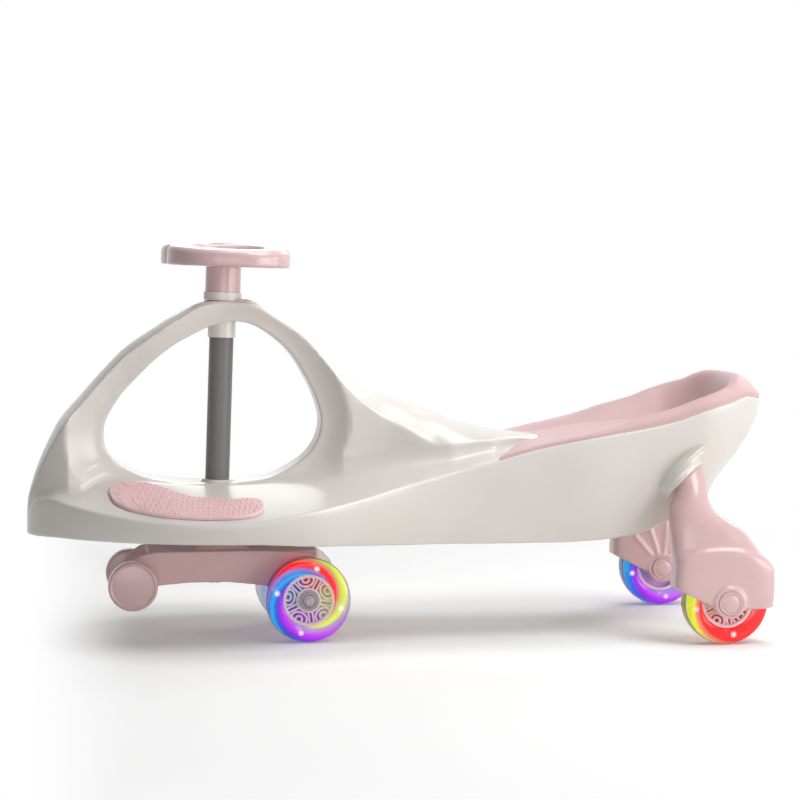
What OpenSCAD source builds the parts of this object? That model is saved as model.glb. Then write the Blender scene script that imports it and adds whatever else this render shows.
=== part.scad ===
// Ride-on wiggle car made of separate pieces, in millimetres.
// X runs from the nose (negative) to the tail, Y across the car, Z up from the floor.

/* [Body] */
// nose to tail
body_length = 790; // [700:5:880]
// across the foot deck
body_width = 304; // [276:2:332]
// lower edge of the skirt above the floor
ground_clearance = 110; // [107:1:114]
// rim of the foot deck above the lower edge of the skirt
skirt_height = 23; // [18:1:30]
// crown of the arch above the floor
head_height = 355; // [340:1:372]
// across the arch at its crown
arch_width = 66; // [60:1:74]
// thickness of the moulded wall
wall = 4; // [3:0.5:5]

/* [Column] */
// nose to the column, along the floor
column_setback = 192.5; // [184:0.5:200]
// backward lean of the column, in degrees
column_lean = 2; // [0:0.1:3]
// steering shaft diameter
shaft_d = 25.4; // [22:0.1:27]
// diameter of the bush body in the head
head_bush_d = 29; // [28.5:0.1:31]
// diameter of the bush body in the deck
deck_bush_d = 32; // [31:0.1:34]
// diameter of the collar flange on the head
collar_d = 40; // [37:0.5:44]
// sleeve between the collar and the steering wheel
sleeve_d = 37; // [33:0.5:40]
// length of that sleeve
sleeve_h = 26; // [20:0.5:32]

/* [Steering wheel] */
// across both grips
grip_span = 246; // [210:1:270]
// fore and aft depth of a grip loop
grip_depth = 126; // [110:1:136]
// thickness of the grip loops
grip_t = 16; // [13:0.5:19]
// width of the bar round each hand hole
grip_bar = 27; // [22:0.5:30]
// hub dome diameter
hub_dome_d = 66; // [60:1:74]
// cap diameter
cap_d = 34; // [30:0.5:38]
// cap height
cap_h = 6.5; // [5:0.5:9]

/* [Truck] */
// front axle behind the column
trail = 93; // [86:0.5:100]
// nose rollers ahead of the column
roller_lead = 87; // [80:0.5:94]
// across the truck's arms
truck_width = 86; // [78:0.5:90]
// thickness of an arm
arm_t = 7; // [5:0.5:9]
// nose roller diameter
roller_d = 51; // [44:0.5:56]
// nose roller thickness
roller_w = 16; // [12:0.5:18]
// roller centre above the floor
roller_z = 60; // [56:0.5:64]

/* [Wheels] */
// tyre diameter
wheel_d = 88; // [82:0.5:94]
// tyre width
wheel_w = 27; // [23:0.5:29]
// hub diameter inside the tyre
hub_d = 54; // [48:0.5:60]
// axle diameter
axle_d = 8; // [7:0.1:9]
// bearing outside diameter
bearing_d = 22; // [20:0.5:24]
// bearing thickness
bearing_w = 7; // [6:0.1:7.5]
// distance between the front wheel centres
front_track = 124; // [120:0.5:132]
// rear wheel centre outside the rim of the tub
wheel_out = 21.5; // [17.5:0.5:25.5]
// rear axle ahead of the tail
rear_axle_inset = 79; // [70:1:90]

/* [Rear legs] */
// thickness of the fender's two walls
fender_wall = 5; // [4:0.5:6]
// free space beside and round the wheel in the fender
wheel_gap = 2.5; // [2:0.5:4]
// diameter of the leg's tenon
tenon_d = 34; // [30:0.5:38]
// length of the tenon
tenon_h = 52; // [44:1:56]
// inward lean of the tenon, in degrees
tenon_lean = 21.8; // [18:0.2:25]
// foot of the tenon above the floor
tenon_z = 146; // [143:0.5:150]
// tenon ahead of the tail
tenon_inset = 110; // [104:0.5:116]
// tenon foot outside the rim of the tub
tenon_out = 5.5; // [2.5:0.5:8.5]
// axle cap diameter
axle_cap_d = 24; // [20:0.5:26]

/* [Seat and pads] */
// thickness of the seat moulding
seat_t = 3.5; // [3:0.25:4.5]
// highest point of the seat's back above the rim of the tub
seat_back_h = 22; // [17:0.5:28]
// length of a foot pad
pad_length = 155; // [135:1:165]
// width of a foot pad
pad_width = 72; // [60:1:78]
// thickness of a foot pad
pad_t = 3.5; // [3:0.25:5]

/* [Fits] */
// space between pieces that do not move on each other
seat_fit = 0.3; // [0.2:0.05:0.4]
// radial space of a running fit
run_fit = 0.05; // [0.03:0.01:0.08]
// screw shank diameter
screw_d = 4; // [3.5:0.1:4.5]

/* [Hidden] */
cream = [0.93, 0.91, 0.88];
pink = [0.93, 0.75, 0.73];
dark = [0.3, 0.3, 0.31];
steel = [0.75, 0.76, 0.78];
clear = [0.85, 0.9, 1, 0.5];
light = [1, 0.6, 0.9];
$fn = 64;

// shares along the body run from 0 at the nose to 1 at the tail
waist_shares = [[0, 1], [0.31, 1], [0.344, 0.99], [0.424, 0.868], [0.5, 0.75], [0.576, 0.701],
    [0.652, 0.701], [0.753, 0.737], [0.854, 0.74], [1, 0.74]];
crown_shares = [[0, 0.355], [0.001, 0.403], [0.006, 0.454], [0.018, 0.53], [0.032, 0.597], [0.044, 0.645],
    [0.071, 0.715], [0.097, 0.78], [0.13, 0.854], [0.165, 0.907], [0.197, 0.952], [0.23, 0.989],
    [0.259, 1], [0.284, 1], [0.304, 0.989], [0.324, 0.963], [0.365, 0.904], [0.391, 0.842],
    [0.418, 0.772], [0.432, 0.746], [0.459, 0.721], [0.5, 0.69], [0.542, 0.656], [0.582, 0.625],
    [0.624, 0.603], [0.658, 0.592], [0.684, 0.583], [0.69, 0.535], [1, 0.282]];
crown_drop_shares = [[0, 0.014], [0.032, 0.025], [0.07, 0.023], [0.13, 0.02], [0.196, 0.017],
    [0.259, 0.014], [0.324, 0.017], [0.373, 0.023], [0.418, 0.031], [0.443, 0.048], [0.47, 0.07],
    [0.5, 0.079], [0.53, 0.093], [0.57, 0.085], [0.596, 0.073], [0.624, 0.042], [0.658, 0.02],
    [0.687, 0.011], [0.703, 0.002], [1, 0.002]];
rim_shares = [[0, 0.962], [0.013, 1.128], [0.032, 1.15], [0.057, 1.113], [0.105, 1.06], [0.167, 1.015],
    [0.224, 1], [0.281, 1.015], [0.344, 1.068], [0.413, 1.143], [0.477, 1.237], [0.543, 1.331],
    [0.595, 1.406], [0.665, 1.515], [0.741, 1.602], [0.806, 1.669], [0.847, 1.722], [0.873, 1.774],
    [0.918, 1.85], [0.951, 1.895], [0.981, 1.872], [1, 1.85]];
rise_shares = [[0, 0.008], [0.019, 0.023], [0.057, 0.098], [0.105, 0.203], [0.167, 0.248], [0.224, 0.241],
    [0.281, 0.226], [0.344, 0.203], [0.413, 0.203], [0.477, 0.188], [0.543, 0.15], [0.595, 0.09],
    [0.627, 0.015], [0.662, -0.023], [0.69, -0.068], [0.753, -0.098], [0.816, -0.135], [0.88, -0.226],
    [0.93, -0.316], [0.968, -0.301], [1, 0.006]];
bow_shares = [[0, 1.3], [0.551, 1.3], [0.69, 3], [1, 3]];
fillet_shares = [[0, 0.008], [0.019, 0.03], [0.057, 0.105], [0.105, 0.165], [0.184, 0.15], [0.31, 0.15],
    [0.373, 0.165], [0.424, 0.18], [0.475, 0.18], [0.53, 0.15], [0.57, 0.12], [0.601, 0.105],
    [0.635, 0.09], [0.662, 0.06], [0.687, 0.03], [0.703, 0.008], [1, 0.006]];
web_shares = [[0, 0.909], [0.018, 1.091], [0.044, 1.394], [0.07, 1.303], [0.097, 1.212], [0.13, 1.121],
    [0.184, 1.045], [0.257, 1], [0.335, 1], [0.386, 1.03], [0.424, 1.121], [0.47, 1.333], [0.53, 1.758],
    [0.57, 2], [0.601, 2], [0.633, 1.576], [0.662, 0.909], [0.687, 0.303], [0.703, 0.182], [1, 0.121]];
keel_shares = [[0, 1], [0.043, 1.009], [0.28, 1.009], [0.373, 0.973], [0.5, 0.936], [0.681, 0.918],
    [0.741, 0.936], [0.768, 0.955], [0.803, 1], [0.837, 1.082], [0.88, 1.155], [0.934, 1.3],
    [0.959, 1.491], [0.976, 1.691], [0.99, 1.891], [0.997, 2.055], [1, 2.145]];
keel_width_shares = [[0, 0.93], [0.224, 0.95], [0.373, 0.92], [0.5, 0.88], [0.627, 0.84], [0.753, 0.81],
    [0.854, 0.78], [0.93, 0.72], [1, 0.6]];
hollow_shares = [[0, 0], [0.46, 0], [0.52, 0.75], [0.6, 0.75], [0.66, 0], [1, 0]];
// radii of the hole under the arch, every 15 degrees from the tail side upward
hole_shares = [1.07, 1.05, 1.036, 1.059, 1.085, 1.107, 1.061, 0.988, 0.957, 0.955, 0.993, 1.085,
    1.188, 1.175, 0.985, 0.798, 0.685, 0.616, 0.605, 0.612, 0.664, 0.764, 0.873, 1.004];
hole_u_share = 0.252;
hole_wide_share = 0.1266;
hole_low_share = 1.2143;
hole_high_share = 0.9242;
hole_edge_share = 0.58;
tub_share = 0.74;
hole_band_share = 0.3;
nose_u_share = 0.31;
tail_u_share = 0.88;
nose_power_share = 0.62;

half_length = body_length / 2;
half_width = body_width / 2;
half_arch = arch_width / 2;
deck_height = ground_clearance + skirt_height;
hole_x = (hole_u_share - 0.5) * body_length;
hole_wide = hole_wide_share * body_length;
hole_low = hole_low_share * deck_height;
hole_tall = (hole_high_share * head_height - hole_low) / (hole_shares[6] + hole_shares[18]);
hole_z = hole_low + hole_shares[18] * hole_tall;
column_x = column_setback - half_length;
rear_x = half_length - rear_axle_inset;
tub_y = tub_share * half_width;
tenon_x = half_length - tenon_inset;
tenon_y = tub_y + tenon_out;
axle_z = wheel_d / 2;

function clamp01(t) = min(1, max(0, t));
function leg_of(p, u, i = 0) = (i >= len(p) - 2 || u < p[i + 1][0]) ? i : leg_of(p, u, i + 1);
function chord(p, i) = (p[i + 1][1] - p[i][1]) / (p[i + 1][0] - p[i][0]);
function mean_slope(a, b) = a * b <= 0 ? 0 : 2 * a * b / (a + b);
function knot(p, i) = i == 0 ? chord(p, 0) : i == len(p) - 1 ? chord(p, i - 1)
    : mean_slope(chord(p, i - 1), chord(p, i));
function hermite(a, b, ma, mb, t) = (1 + 2 * t) * (1 - t) * (1 - t) * a + t * (1 - t) * (1 - t) * ma
    + t * t * (3 - 2 * t) * b + t * t * (t - 1) * mb;
// smooth curve through share pairs, without overshoot
function curve(p, u) = let (i = leg_of(p, u), h = p[i + 1][0] - p[i][0], t = clamp01((u - p[i][0]) / h))
    hermite(p[i][1], p[i + 1][1], h * knot(p, i), h * knot(p, i + 1), t);
// smooth closed curve through equally spaced values
function ring_value(v, a) = let (n = len(v), k = floor(a * n / 360), t = a * n / 360 - k,
    p = [for (j = [-1:2]) v[(k + j + n) % n]])
    hermite(p[1], p[2], (p[2] - p[0]) / 2, (p[3] - p[1]) / 2, t);

// the body's lines at a share u of its length
function nose_taper(u) = u >= nose_u_share ? 1
    : pow(1 - 0.999 * pow(1 - u / nose_u_share, 2), nose_power_share);
function tail_taper(u) = u <= tail_u_share ? 1
    : sqrt(1 - 0.999 * pow((u - tail_u_share) / (1 - tail_u_share), 2));
function rim_y(u) = half_width * curve(waist_shares, u) * nose_taper(u) * tail_taper(u);
function keel_y(u) = rim_y(u) * curve(keel_width_shares, u);
function keel_z(u) = ground_clearance * curve(keel_shares, u);
function crown_line(u) = head_height * curve(crown_shares, u);
function rim_line(u) = deck_height * curve(rim_shares, u);
function rim_z(u) = u > nose_u_share ? rim_line(u)
    : min(rim_line(u), keel_z(u) + 0.75 * (crown_line(u) - keel_z(u)));
function rim_round(u) = min(wall, 0.12 * rim_y(u));
function deck_y(u) = rim_y(u) - rim_round(u);
function deck_rise(u) = deck_height * curve(rise_shares, u);
function deck_z(u, y) = rim_z(u) + deck_rise(u) * (1 - pow(min(1, y / deck_y(u)), curve(bow_shares, u)));
function foot_r(u) = min(deck_height * curve(fillet_shares, u), 0.25 * rim_y(u));
function web_y(u) = min(half_arch * curve(web_shares, u), 0.6 * rim_y(u));
function hole_rim(a) = ring_value(hole_shares, a) * [hole_wide * cos(a), hole_tall * sin(a)];
// the arch narrows towards its hole
function web_at(u, z) = let (dx = ((u - 0.5) * body_length - hole_x) / hole_wide,
    dz = (z - hole_z) / hole_tall, a = (atan2(dz, dx) + 360) % 360,
    k = clamp01((norm([dx, dz]) - ring_value(hole_shares, a)) / hole_band_share))
    web_y(u) * (hole_edge_share + (1 - hole_edge_share) * sin(90 * k));
function foot_guess(u) = web_at(u, deck_z(u, web_y(u) + foot_r(u)) + foot_r(u));
function foot_z(u) = deck_z(u, foot_guess(u) + foot_r(u));
function crease_z(u) = max(foot_z(u) + foot_r(u) + 0.1 * wall,
    crown_line(u) - head_height * curve(crown_drop_shares, u));
function crown_z(u) = max(crown_line(u), crease_z(u) + 0.1 * wall);

skirt_steps = [0.35, 0.7];
turn_steps = [0, 45, 90];
deck_steps = [0.12, 0.26, 0.42, 0.6, 0.8, 1];
foot_steps = [30, 60, 90];
web_steps = [0.15, 0.3, 0.45, 0.6, 0.75, 0.88, 1];
crown_steps = [0.3, 0.6, 0.85, 1];
// half of the body's outline across, from the bottom centre up to the top centre
function half_outline(u) = let (r = rim_y(u), b = keel_y(u), zb = keel_z(u), zr = rim_z(u),
    e = rim_round(u), f = foot_r(u), w = foot_guess(u), zf = foot_z(u), zk = crease_z(u),
    wk = web_at(u, zk), top = crown_z(u))
    concat([[0, zb], [b, zb]],
        [for (t = skirt_steps) [b + (r - b) * (1 - pow(1 - t, 1.8)), zb + (zr - e - zb) * t]],
        [for (a = turn_steps) [r - e + e * cos(a), zr - e + e * sin(a)]],
        [for (t = deck_steps) let (y = r - e + (w + f - r + e) * t) [y, deck_z(u, y)]],
        [for (a = foot_steps) [w + f - f * sin(a), zf + f * (1 - cos(a))]],
        [for (t = web_steps) let (z = zf + f + (zk - zf - f) * t) [web_at(u, z), z]],
        [for (t = crown_steps) [wk * (1 - t), zk + (top - zk) * (1 - pow(1 - t, 2.2))]]);
// the hollow stays under the hole's floor and the crown, then follows the seat's dish to a flat end
dish_from_share = 0.69;
dish_to_share = 0.95;
function arch_roof(u) = min(crown_z(u) - 2 * wall,
    hole_low - 1.2 * wall + head_height * pow(clamp01(abs(u - hole_u_share) * 4.4 - 0.4), 2));
function hollow_roof(u) = u > dish_to_share ? crown_z(u) - 2 * wall
    : u > dish_from_share ? rim_z(u) : arch_roof(u);
// half of the hollow's outline across
function skirt_y(u, z) = let (t = clamp01((z - keel_z(u)) / (rim_z(u) - rim_round(u) - keel_z(u))))
    keel_y(u) + (rim_y(u) - keel_y(u)) * (1 - pow(1 - t, 1.8));
function half_hollow(u) = let (open = u < 0.785, zb = keel_z(u) + (open ? -wall : wall),
    zr = min(rim_z(u) - 1.5 * wall, hollow_roof(u) - 0.2 * wall), r = skirt_y(u, zr) - 1.1 * wall,
    lift = max(0, crown_z(u) - deck_z(u, 0) - wall) * curve(hollow_shares, u))
    concat([[0, zb]],
        [for (t = [0, 0.35, 0.7, 1]) let (z = zb + (zr - zb) * t) [skirt_y(u, z) - 1.1 * wall, z]],
        [for (t = [0.06, 0.25, 0.5, 0.75, 1]) let (y = r * (1 - t))
            [y, min(deck_z(u, y) - wall + lift * (1 - pow(min(1, y / web_y(u)), 2)), hollow_roof(u))]]);
function ring(h, x) = concat([for (p = h) [x, p[0], p[1]]],
    [for (k = [len(h) - 2:-1:1]) [x, -h[k][0], h[k][1]]]);
function side_faces(rows, m) = [for (i = [0:rows - 2], j = [0:m - 1])
    let (a = i * m + j, b = i * m + (j + 1) % m, c = a + m, d = b + m) each [[a, c, d], [a, d, b]]];
function cap_faces(row, m, flip) = let (s = row * m, n = m / 2) [for (k = [0:n - 1])
    let (a = s + k, b = s + k + 1, c = s + (m - k - 1) % m, d = s + (m - k) % m)
    each concat(a == d ? [] : [flip ? [a, d, b] : [a, b, d]],
        b == c ? [] : [flip ? [b, d, c] : [b, c, d]])];
// a solid through rings that have a mirror line at their first and middle points
module loft(rings) {
    rows = len(rings);
    m = len(rings[0]);
    polyhedron(points = [for (r = rings) each r],
        faces = concat(side_faces(rows, m), cap_faces(0, m, false), cap_faces(rows - 1, m, true)));
}

nose_steps = 9;
mid_steps = 27;
tail_steps = 8;
// extra stations where the hump ends under the front of the seat
seat_stations = [0.684, 0.687, 0.69];
function mid_station(i) = 0.12 + (0.87 - 0.12) * i / mid_steps;
stations = concat([for (i = [0:nose_steps - 1]) 0.12 * (1 - cos(90 * i / nose_steps))],
    [for (i = [0:mid_steps - 1]) if (mid_station(i) < seat_stations[0]) mid_station(i)],
    seat_stations,
    [for (i = [0:mid_steps - 1]) if (mid_station(i) > seat_stations[2]) mid_station(i)],
    [for (i = [0:tail_steps]) 0.87 + 0.13 * sin(90 * i / tail_steps)]);
hollow_steps = 26;
hollow_stations = [for (i = [0:hollow_steps]) 0.035 + (0.962 - 0.035) * i / hollow_steps];

module along_column(s = 0) {
    translate([column_x, 0, 0]) {
        rotate([0, column_lean, 0]) {
            translate([0, 0, s]) {
                children();
            }
        }
    }
}
module rod(d, from, to) {
    translate([0, 0, from]) {
        cylinder(d = d, h = to - from);
    }
}
module tube(d, bore, from, to) {
    difference() {
        rod(d, from, to);
        rod(bore, from - d, to + d);
    }
}
module across(x, z) {
    translate([x, 0, z]) {
        rotate([-90, 0, 0]) {
            children();
        }
    }
}
module both_sides() {
    children();
    mirror([0, 1, 0]) {
        children();
    }
}
module left_side() {
    mirror([0, 1, 0]) {
        children();
    }
}

// heights along the column
flange_s = ground_clearance - 2 * wall;
flange_t = 0.75 * wall;
washer_t = 0.5 * wall;
truck_top = flange_s - washer_t - 2 * seat_fit;
column_u = (column_x + 0.47 * head_height * sin(column_lean)) / body_length + 0.5;
floor_s = hole_low;
ceiling_s = hole_z + hole_rim(88)[1];
head_s = crown_z(column_u) - 0.6 * wall;
collar_top = head_s + 2.2 * wall;
sleeve_from = collar_top + seat_fit;
wheel_from = sleeve_from + sleeve_h + seat_fit;
wheel_top = wheel_from + grip_t;
dome_top = wheel_top + 0.7 * wall;
bolt_d = axle_d;
bolt_head_d = 1.6 * bolt_d;
bolt_head_h = 0.6 * bolt_d;
shaft_top = wheel_from + 0.5 * grip_t;
shaft_foot = 0.68 * truck_top;
king_floor = shaft_foot - 2 * wall;

// screw places on the underside, as shares along and across the body
pan_spot_shares = [[0.13, 0.55], [0.36, 0.62], [0.56, 0.74]];
seat_spot_shares = [[0.74, 0.42], [0.87, 0.42]];
pan_z = ground_clearance + 0.6 * wall;
pan_t = 1.1 * wall;
boss_d = 2.6 * screw_d;
screw_head_d = 2 * screw_d;
screw_head_h = 0.6 * screw_d;
head_depth = screw_head_h + seat_fit;
function spot_x(p) = (p[0] - 0.5) * body_length;
function spot_y(p) = p[1] * rim_y(p[0]);
function spot_z(p) = deck_z(p[0], spot_y(p));

module tenon_frame() {
    translate([tenon_x, tenon_y, tenon_z]) {
        rotate([tenon_lean, 0, 0]) {
            children();
        }
    }
}

module hole_prism() {
    translate([hole_x, 0, hole_z]) {
        rotate([90, 0, 0]) {
            linear_extrude(height = 2 * body_width, center = true) {
                polygon([for (a = [0:6:354]) hole_rim(a)]);
            }
        }
    }
}
cup_d = tenon_d + 2 * wall;
module shell_mould() {
    difference() {
        union() {
            difference() {
                loft([for (u = stations) ring(half_outline(u), (u - 0.5) * body_length)]);
                loft([for (u = hollow_stations) ring(half_hollow(u), (u - 0.5) * body_length)]);
            }
            along_column() {
                rod(deck_bush_d + 2.5 * wall, flange_s + flange_t + seat_fit, floor_s - 0.5 * wall);
            }
            both_sides() {
                tenon_frame() {
                    rod(cup_d, 0.4 * tenon_h, tenon_h + wall);
                }
            }
            both_sides() {
                for (p = pan_spot_shares) {
                    translate([spot_x(p), spot_y(p), 0]) {
                        rod(boss_d, pan_z + pan_t + seat_fit, spot_z(p) - 0.5 * wall);
                    }
                }
            }
        }
        hole_prism();
    }
}
module body_shell() {
    color(cream) {
        difference() {
            resize([body_length, 0, 0]) {
                shell_mould();
            }
            along_column() {
                rod(head_bush_d + 2 * run_fit, ceiling_s - 10 * wall, head_s + 10 * wall);
            }
            along_column() {
                rod(collar_d + 2 * seat_fit, head_s, head_s + 10 * wall);
            }
            along_column() {
                rod(deck_bush_d + 2 * run_fit, flange_s - wall, floor_s + 5 * wall);
            }
            both_sides() {
                tenon_frame() {
                    rod(tenon_d + 2 * seat_fit, -wall, tenon_h + seat_fit);
                }
            }
            both_sides() {
                tenon_frame() {
                    rod(bolt_d + seat_fit, tenon_h - wall, tenon_h + 4 * wall);
                }
            }
            both_sides() {
                for (p = pan_spot_shares) {
                    translate([spot_x(p), spot_y(p), 0]) {
                        rod(screw_d + 2 * run_fit, pan_z, pan_z + 5 * screw_d);
                    }
                }
            }
            both_sides() {
                for (p = seat_spot_shares) {
                    translate([spot_x(p), spot_y(p), 0]) {
                        rod(screw_d + seat_fit, spot_z(p) - 3 * wall, spot_z(p) + 2 * wall);
                    }
                }
            }
        }
    }
}

// underside
pan_from_share = 0.0358;
pan_to_share = 0.798;
pan_steps = 40;
function pan_edge(u) = keel_y(u) - 1.35 * wall - seat_fit;
module underside_pan() {
    us = [for (i = [0:pan_steps]) pan_from_share + (pan_to_share - pan_from_share) * i / pan_steps];
    color(cream) {
        difference() {
            translate([0, 0, pan_z]) {
                linear_extrude(height = pan_t) {
                    polygon(concat([for (u = us) [(u - 0.5) * body_length, pan_edge(u)]],
                        [for (i = [pan_steps:-1:0]) [(us[i] - 0.5) * body_length, -pan_edge(us[i])]]));
                }
            }
            along_column() {
                rod(deck_bush_d + 3 * wall + 4 * seat_fit, flange_s - wall, flange_s + 10 * wall);
            }
            both_sides() {
                for (p = pan_spot_shares) {
                    translate([spot_x(p), spot_y(p), 0]) {
                        rod(screw_d + seat_fit, pan_z - wall, pan_z + 2 * wall);
                    }
                }
            }
            both_sides() {
                for (p = pan_spot_shares) {
                    translate([spot_x(p), spot_y(p), 0]) {
                        rod(screw_head_d + 2 * seat_fit, pan_z - wall, pan_z + head_depth);
                    }
                }
            }
        }
    }
}
module screw(d, head_d, head_h, length) {
    rod(d, -run_fit, length);
    rod(head_d, -head_h, 0);
}
module pan_screws() {
    color(steel) {
        both_sides() {
            for (p = pan_spot_shares) {
                translate([spot_x(p), spot_y(p), pan_z + head_depth - 0.2 * seat_fit]) {
                    screw(screw_d, screw_head_d, screw_head_h, 4 * screw_d);
                }
            }
        }
    }
}
module seat_screws() {
    color(steel) {
        both_sides() {
            for (p = seat_spot_shares) {
                translate([spot_x(p), spot_y(p), spot_z(p) - 1.3 * wall]) {
                    screw(screw_d, screw_head_d, screw_head_h, 2.6 * screw_d);
                }
            }
        }
    }
}

// seat
seat_front_share = 0.694;
seat_tip_share = 0.608;
seat_tail_share = 0.993;
pan_shares = [[0.6, 1.54], [0.69, 1.545], [0.753, 1.6], [0.816, 1.635], [0.88, 1.645],
    [0.915, 1.66], [1, 1.7]];
crest_shares = [[0.6, 0.15], [0.69, 0.2], [0.747, 0.32], [0.806, 0.5], [0.87, 0.58], [0.92, 0.72],
    [0.95, 1], [1, 1]];
lip_side_share = 0.12;
lip_tail_share = 0.36;
bowl_share = 0.3;
function seat_reach(u, y) = u < tail_u_share ? [y / (half_width * curve(waist_shares, u)), 0]
    : [y / (half_width * curve(waist_shares, u)), (u - tail_u_share) / (1 - tail_u_share)];
function seat_in(u, y) = 1 - norm(seat_reach(u, y));
function lip_share(u, y) = let (q = seat_reach(u, y)) lip_side_share + (lip_tail_share - lip_side_share)
    * pow(q[1] / max(0.01, norm(q)), 2);
function seat_rise(u, y) = let (e = seat_in(u, y), l = lip_share(u, y), k = clamp01(e / l),
    m = clamp01((e - l) / bowl_share)) [sin(90 * k), m * m * (3 - 2 * m)];
function seat_top(u, y) = let (k = seat_rise(u, y), edge = rim_z(u) + seat_fit + 0.7 * seat_t,
    crest = rim_z(u) + seat_fit + 0.7 * seat_t + seat_back_h * curve(crest_shares, u),
    floor_z = deck_height * curve(pan_shares, u))
    (edge + (crest - edge) * k[0]) * (1 - k[1]) + floor_z * k[1];
function shell_top(u, y) = let (w = foot_guess(u), f = foot_r(u), zf = foot_z(u)) y >= w + f ? deck_z(u, y)
    : y >= w ? zf + f - sqrt(max(0, f * f - pow(w + f - y, 2))) : crease_z(u);
function seat_under(u, y) = max(seat_top(u, y) - seat_t, shell_top(u, y) + 4 * seat_fit);
function seat_side(u) = rim_y(u) - 0.6 * rim_round(u);
seat_rows = 28;
seat_cols = 24;
function seat_start(f) = seat_front_share + (seat_tip_share - seat_front_share) * pow(abs(f), 1.1);
function seat_u(i, f) = let (t = i / seat_rows) seat_start(f) + (seat_tail_share - seat_start(f))
    * (0.35 * t + 0.65 * sin(90 * t));
function seat_f(j) = let (t = 2 * j / seat_cols - 1) sign(t) * (1 - pow(1 - abs(t), 1.5));
function seat_point(i, j, over) = let (f = seat_f(j), u = seat_u(i, f), a = abs(f) * seat_side(u))
    [(u - 0.5) * body_length, sign(f) * a, over ? max(seat_top(u, a), seat_under(u, a) + 0.4 * seat_t)
    : seat_under(u, a)];
// a plate from two grids of points, the upper one first
module plate(upper, lower) {
    rows = len(upper);
    cols = len(upper[0]);
    n = rows * cols;
    edge = concat([for (j = [0:cols - 1]) j], [for (i = [1:rows - 1]) i * cols + cols - 1],
        [for (j = [cols - 2:-1:0]) (rows - 1) * cols + j], [for (i = [rows - 2:-1:1]) i * cols]);
    polyhedron(points = concat([for (r = upper) each r], [for (r = lower) each r]),
        faces = concat(
            [for (i = [0:rows - 2], j = [0:cols - 2]) let (a = i * cols + j)
                each [[a, a + 1, a + cols + 1], [a, a + cols + 1, a + cols]]],
            [for (i = [0:rows - 2], j = [0:cols - 2]) let (a = n + i * cols + j)
                each [[a, a + cols + 1, a + 1], [a, a + cols, a + cols + 1]]],
            [for (k = [0:len(edge) - 1]) let (a = edge[k], b = edge[(k + 1) % len(edge)])
                each [[a, n + a, n + b], [a, n + b, b]]]));
}
module seat() {
    color(pink) {
        difference() {
            union() {
                plate([for (i = [0:seat_rows]) [for (j = [0:seat_cols]) seat_point(i, j, true)]],
                    [for (i = [0:seat_rows]) [for (j = [0:seat_cols]) seat_point(i, j, false)]]);
                both_sides() {
                    for (p = seat_spot_shares) {
                        translate([spot_x(p), spot_y(p), 0]) {
                            rod(boss_d, spot_z(p) + 0.3 * wall, seat_top(p[0], spot_y(p)) - 0.4 * seat_t);
                        }
                    }
                }
            }
            both_sides() {
                for (p = seat_spot_shares) {
                    translate([spot_x(p), spot_y(p), 0]) {
                        rod(screw_d + 2 * run_fit, 0, seat_top(p[0], spot_y(p)) - 0.7 * seat_t);
                    }
                }
            }
        }
    }
}

// foot pads
pad_u_share = 0.208;
pad_y_share = 0.645;
pad_shape_shares = [[0, 0.05], [0.012, 0.32], [0.05, 0.62], [0.12, 0.88], [0.2, 0.99], [0.28, 1], [0.5, 0.76],
    [0.62, 0.7], [0.8, 0.68], [0.9, 0.58], [0.96, 0.42], [0.99, 0.22], [1, 0.05]];
pad_rows = 18;
pad_cols = 8;
function pad_point(i, j, lift) = let (t = (1 - cos(180 * i / pad_rows)) / 2, s = 2 * j / pad_cols - 1,
    u = pad_u_share + (t - 0.5) * pad_length / body_length,
    y = pad_y_share * half_width * (0.94 + 0.1 * t) + s * curve(pad_shape_shares, t) * pad_width / 2)
    [(u - 0.5) * body_length, y, deck_z(u, y) + 1.3 * seat_fit + lift];
module right_foot_pad() {
    color(pink) {
        plate([for (i = [0:pad_rows]) [for (j = [0:pad_cols]) pad_point(i, j, pad_t)]],
            [for (i = [0:pad_rows]) [for (j = [0:pad_cols]) pad_point(i, j, 0)]]);
    }
}
module left_foot_pad() {
    left_side() {
        right_foot_pad();
    }
}

// column
module head_collar() {
    color(cream) {
        along_column() {
            difference() {
                union() {
                    rod(head_bush_d, ceiling_s - 3.8 * wall, head_s + wall);
                    rod(collar_d, head_s + seat_fit, collar_top);
                }
                rod(shaft_d + 2 * run_fit, ceiling_s - 10 * wall, head_s + 10 * wall);
            }
        }
    }
}
module deck_bush() {
    color(dark) {
        along_column() {
            difference() {
                union() {
                    rod(deck_bush_d, flange_s + flange_t / 2, floor_s + 0.7 * wall);
                    rod(deck_bush_d + 3 * wall, flange_s, flange_s + flange_t);
                }
                rod(shaft_d + 2 * run_fit, 0, head_s);
            }
        }
    }
}
module steering_shaft() {
    color(dark) {
        along_column() {
            difference() {
                rod(shaft_d, shaft_foot, shaft_top);
                rod(shaft_d - wall, shaft_foot + 5 * wall, shaft_top - 5 * wall);
                rod(bolt_d + 2 * run_fit, shaft_top - 6 * wall, shaft_top + wall);
                rod(bolt_d + 2 * run_fit, shaft_foot - wall, shaft_foot + 6 * wall);
            }
        }
    }
}
module column_sleeve() {
    color(pink) {
        along_column() {
            tube(sleeve_d, shaft_d + 2 * seat_fit, sleeve_from, sleeve_from + sleeve_h);
        }
    }
}

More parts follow.
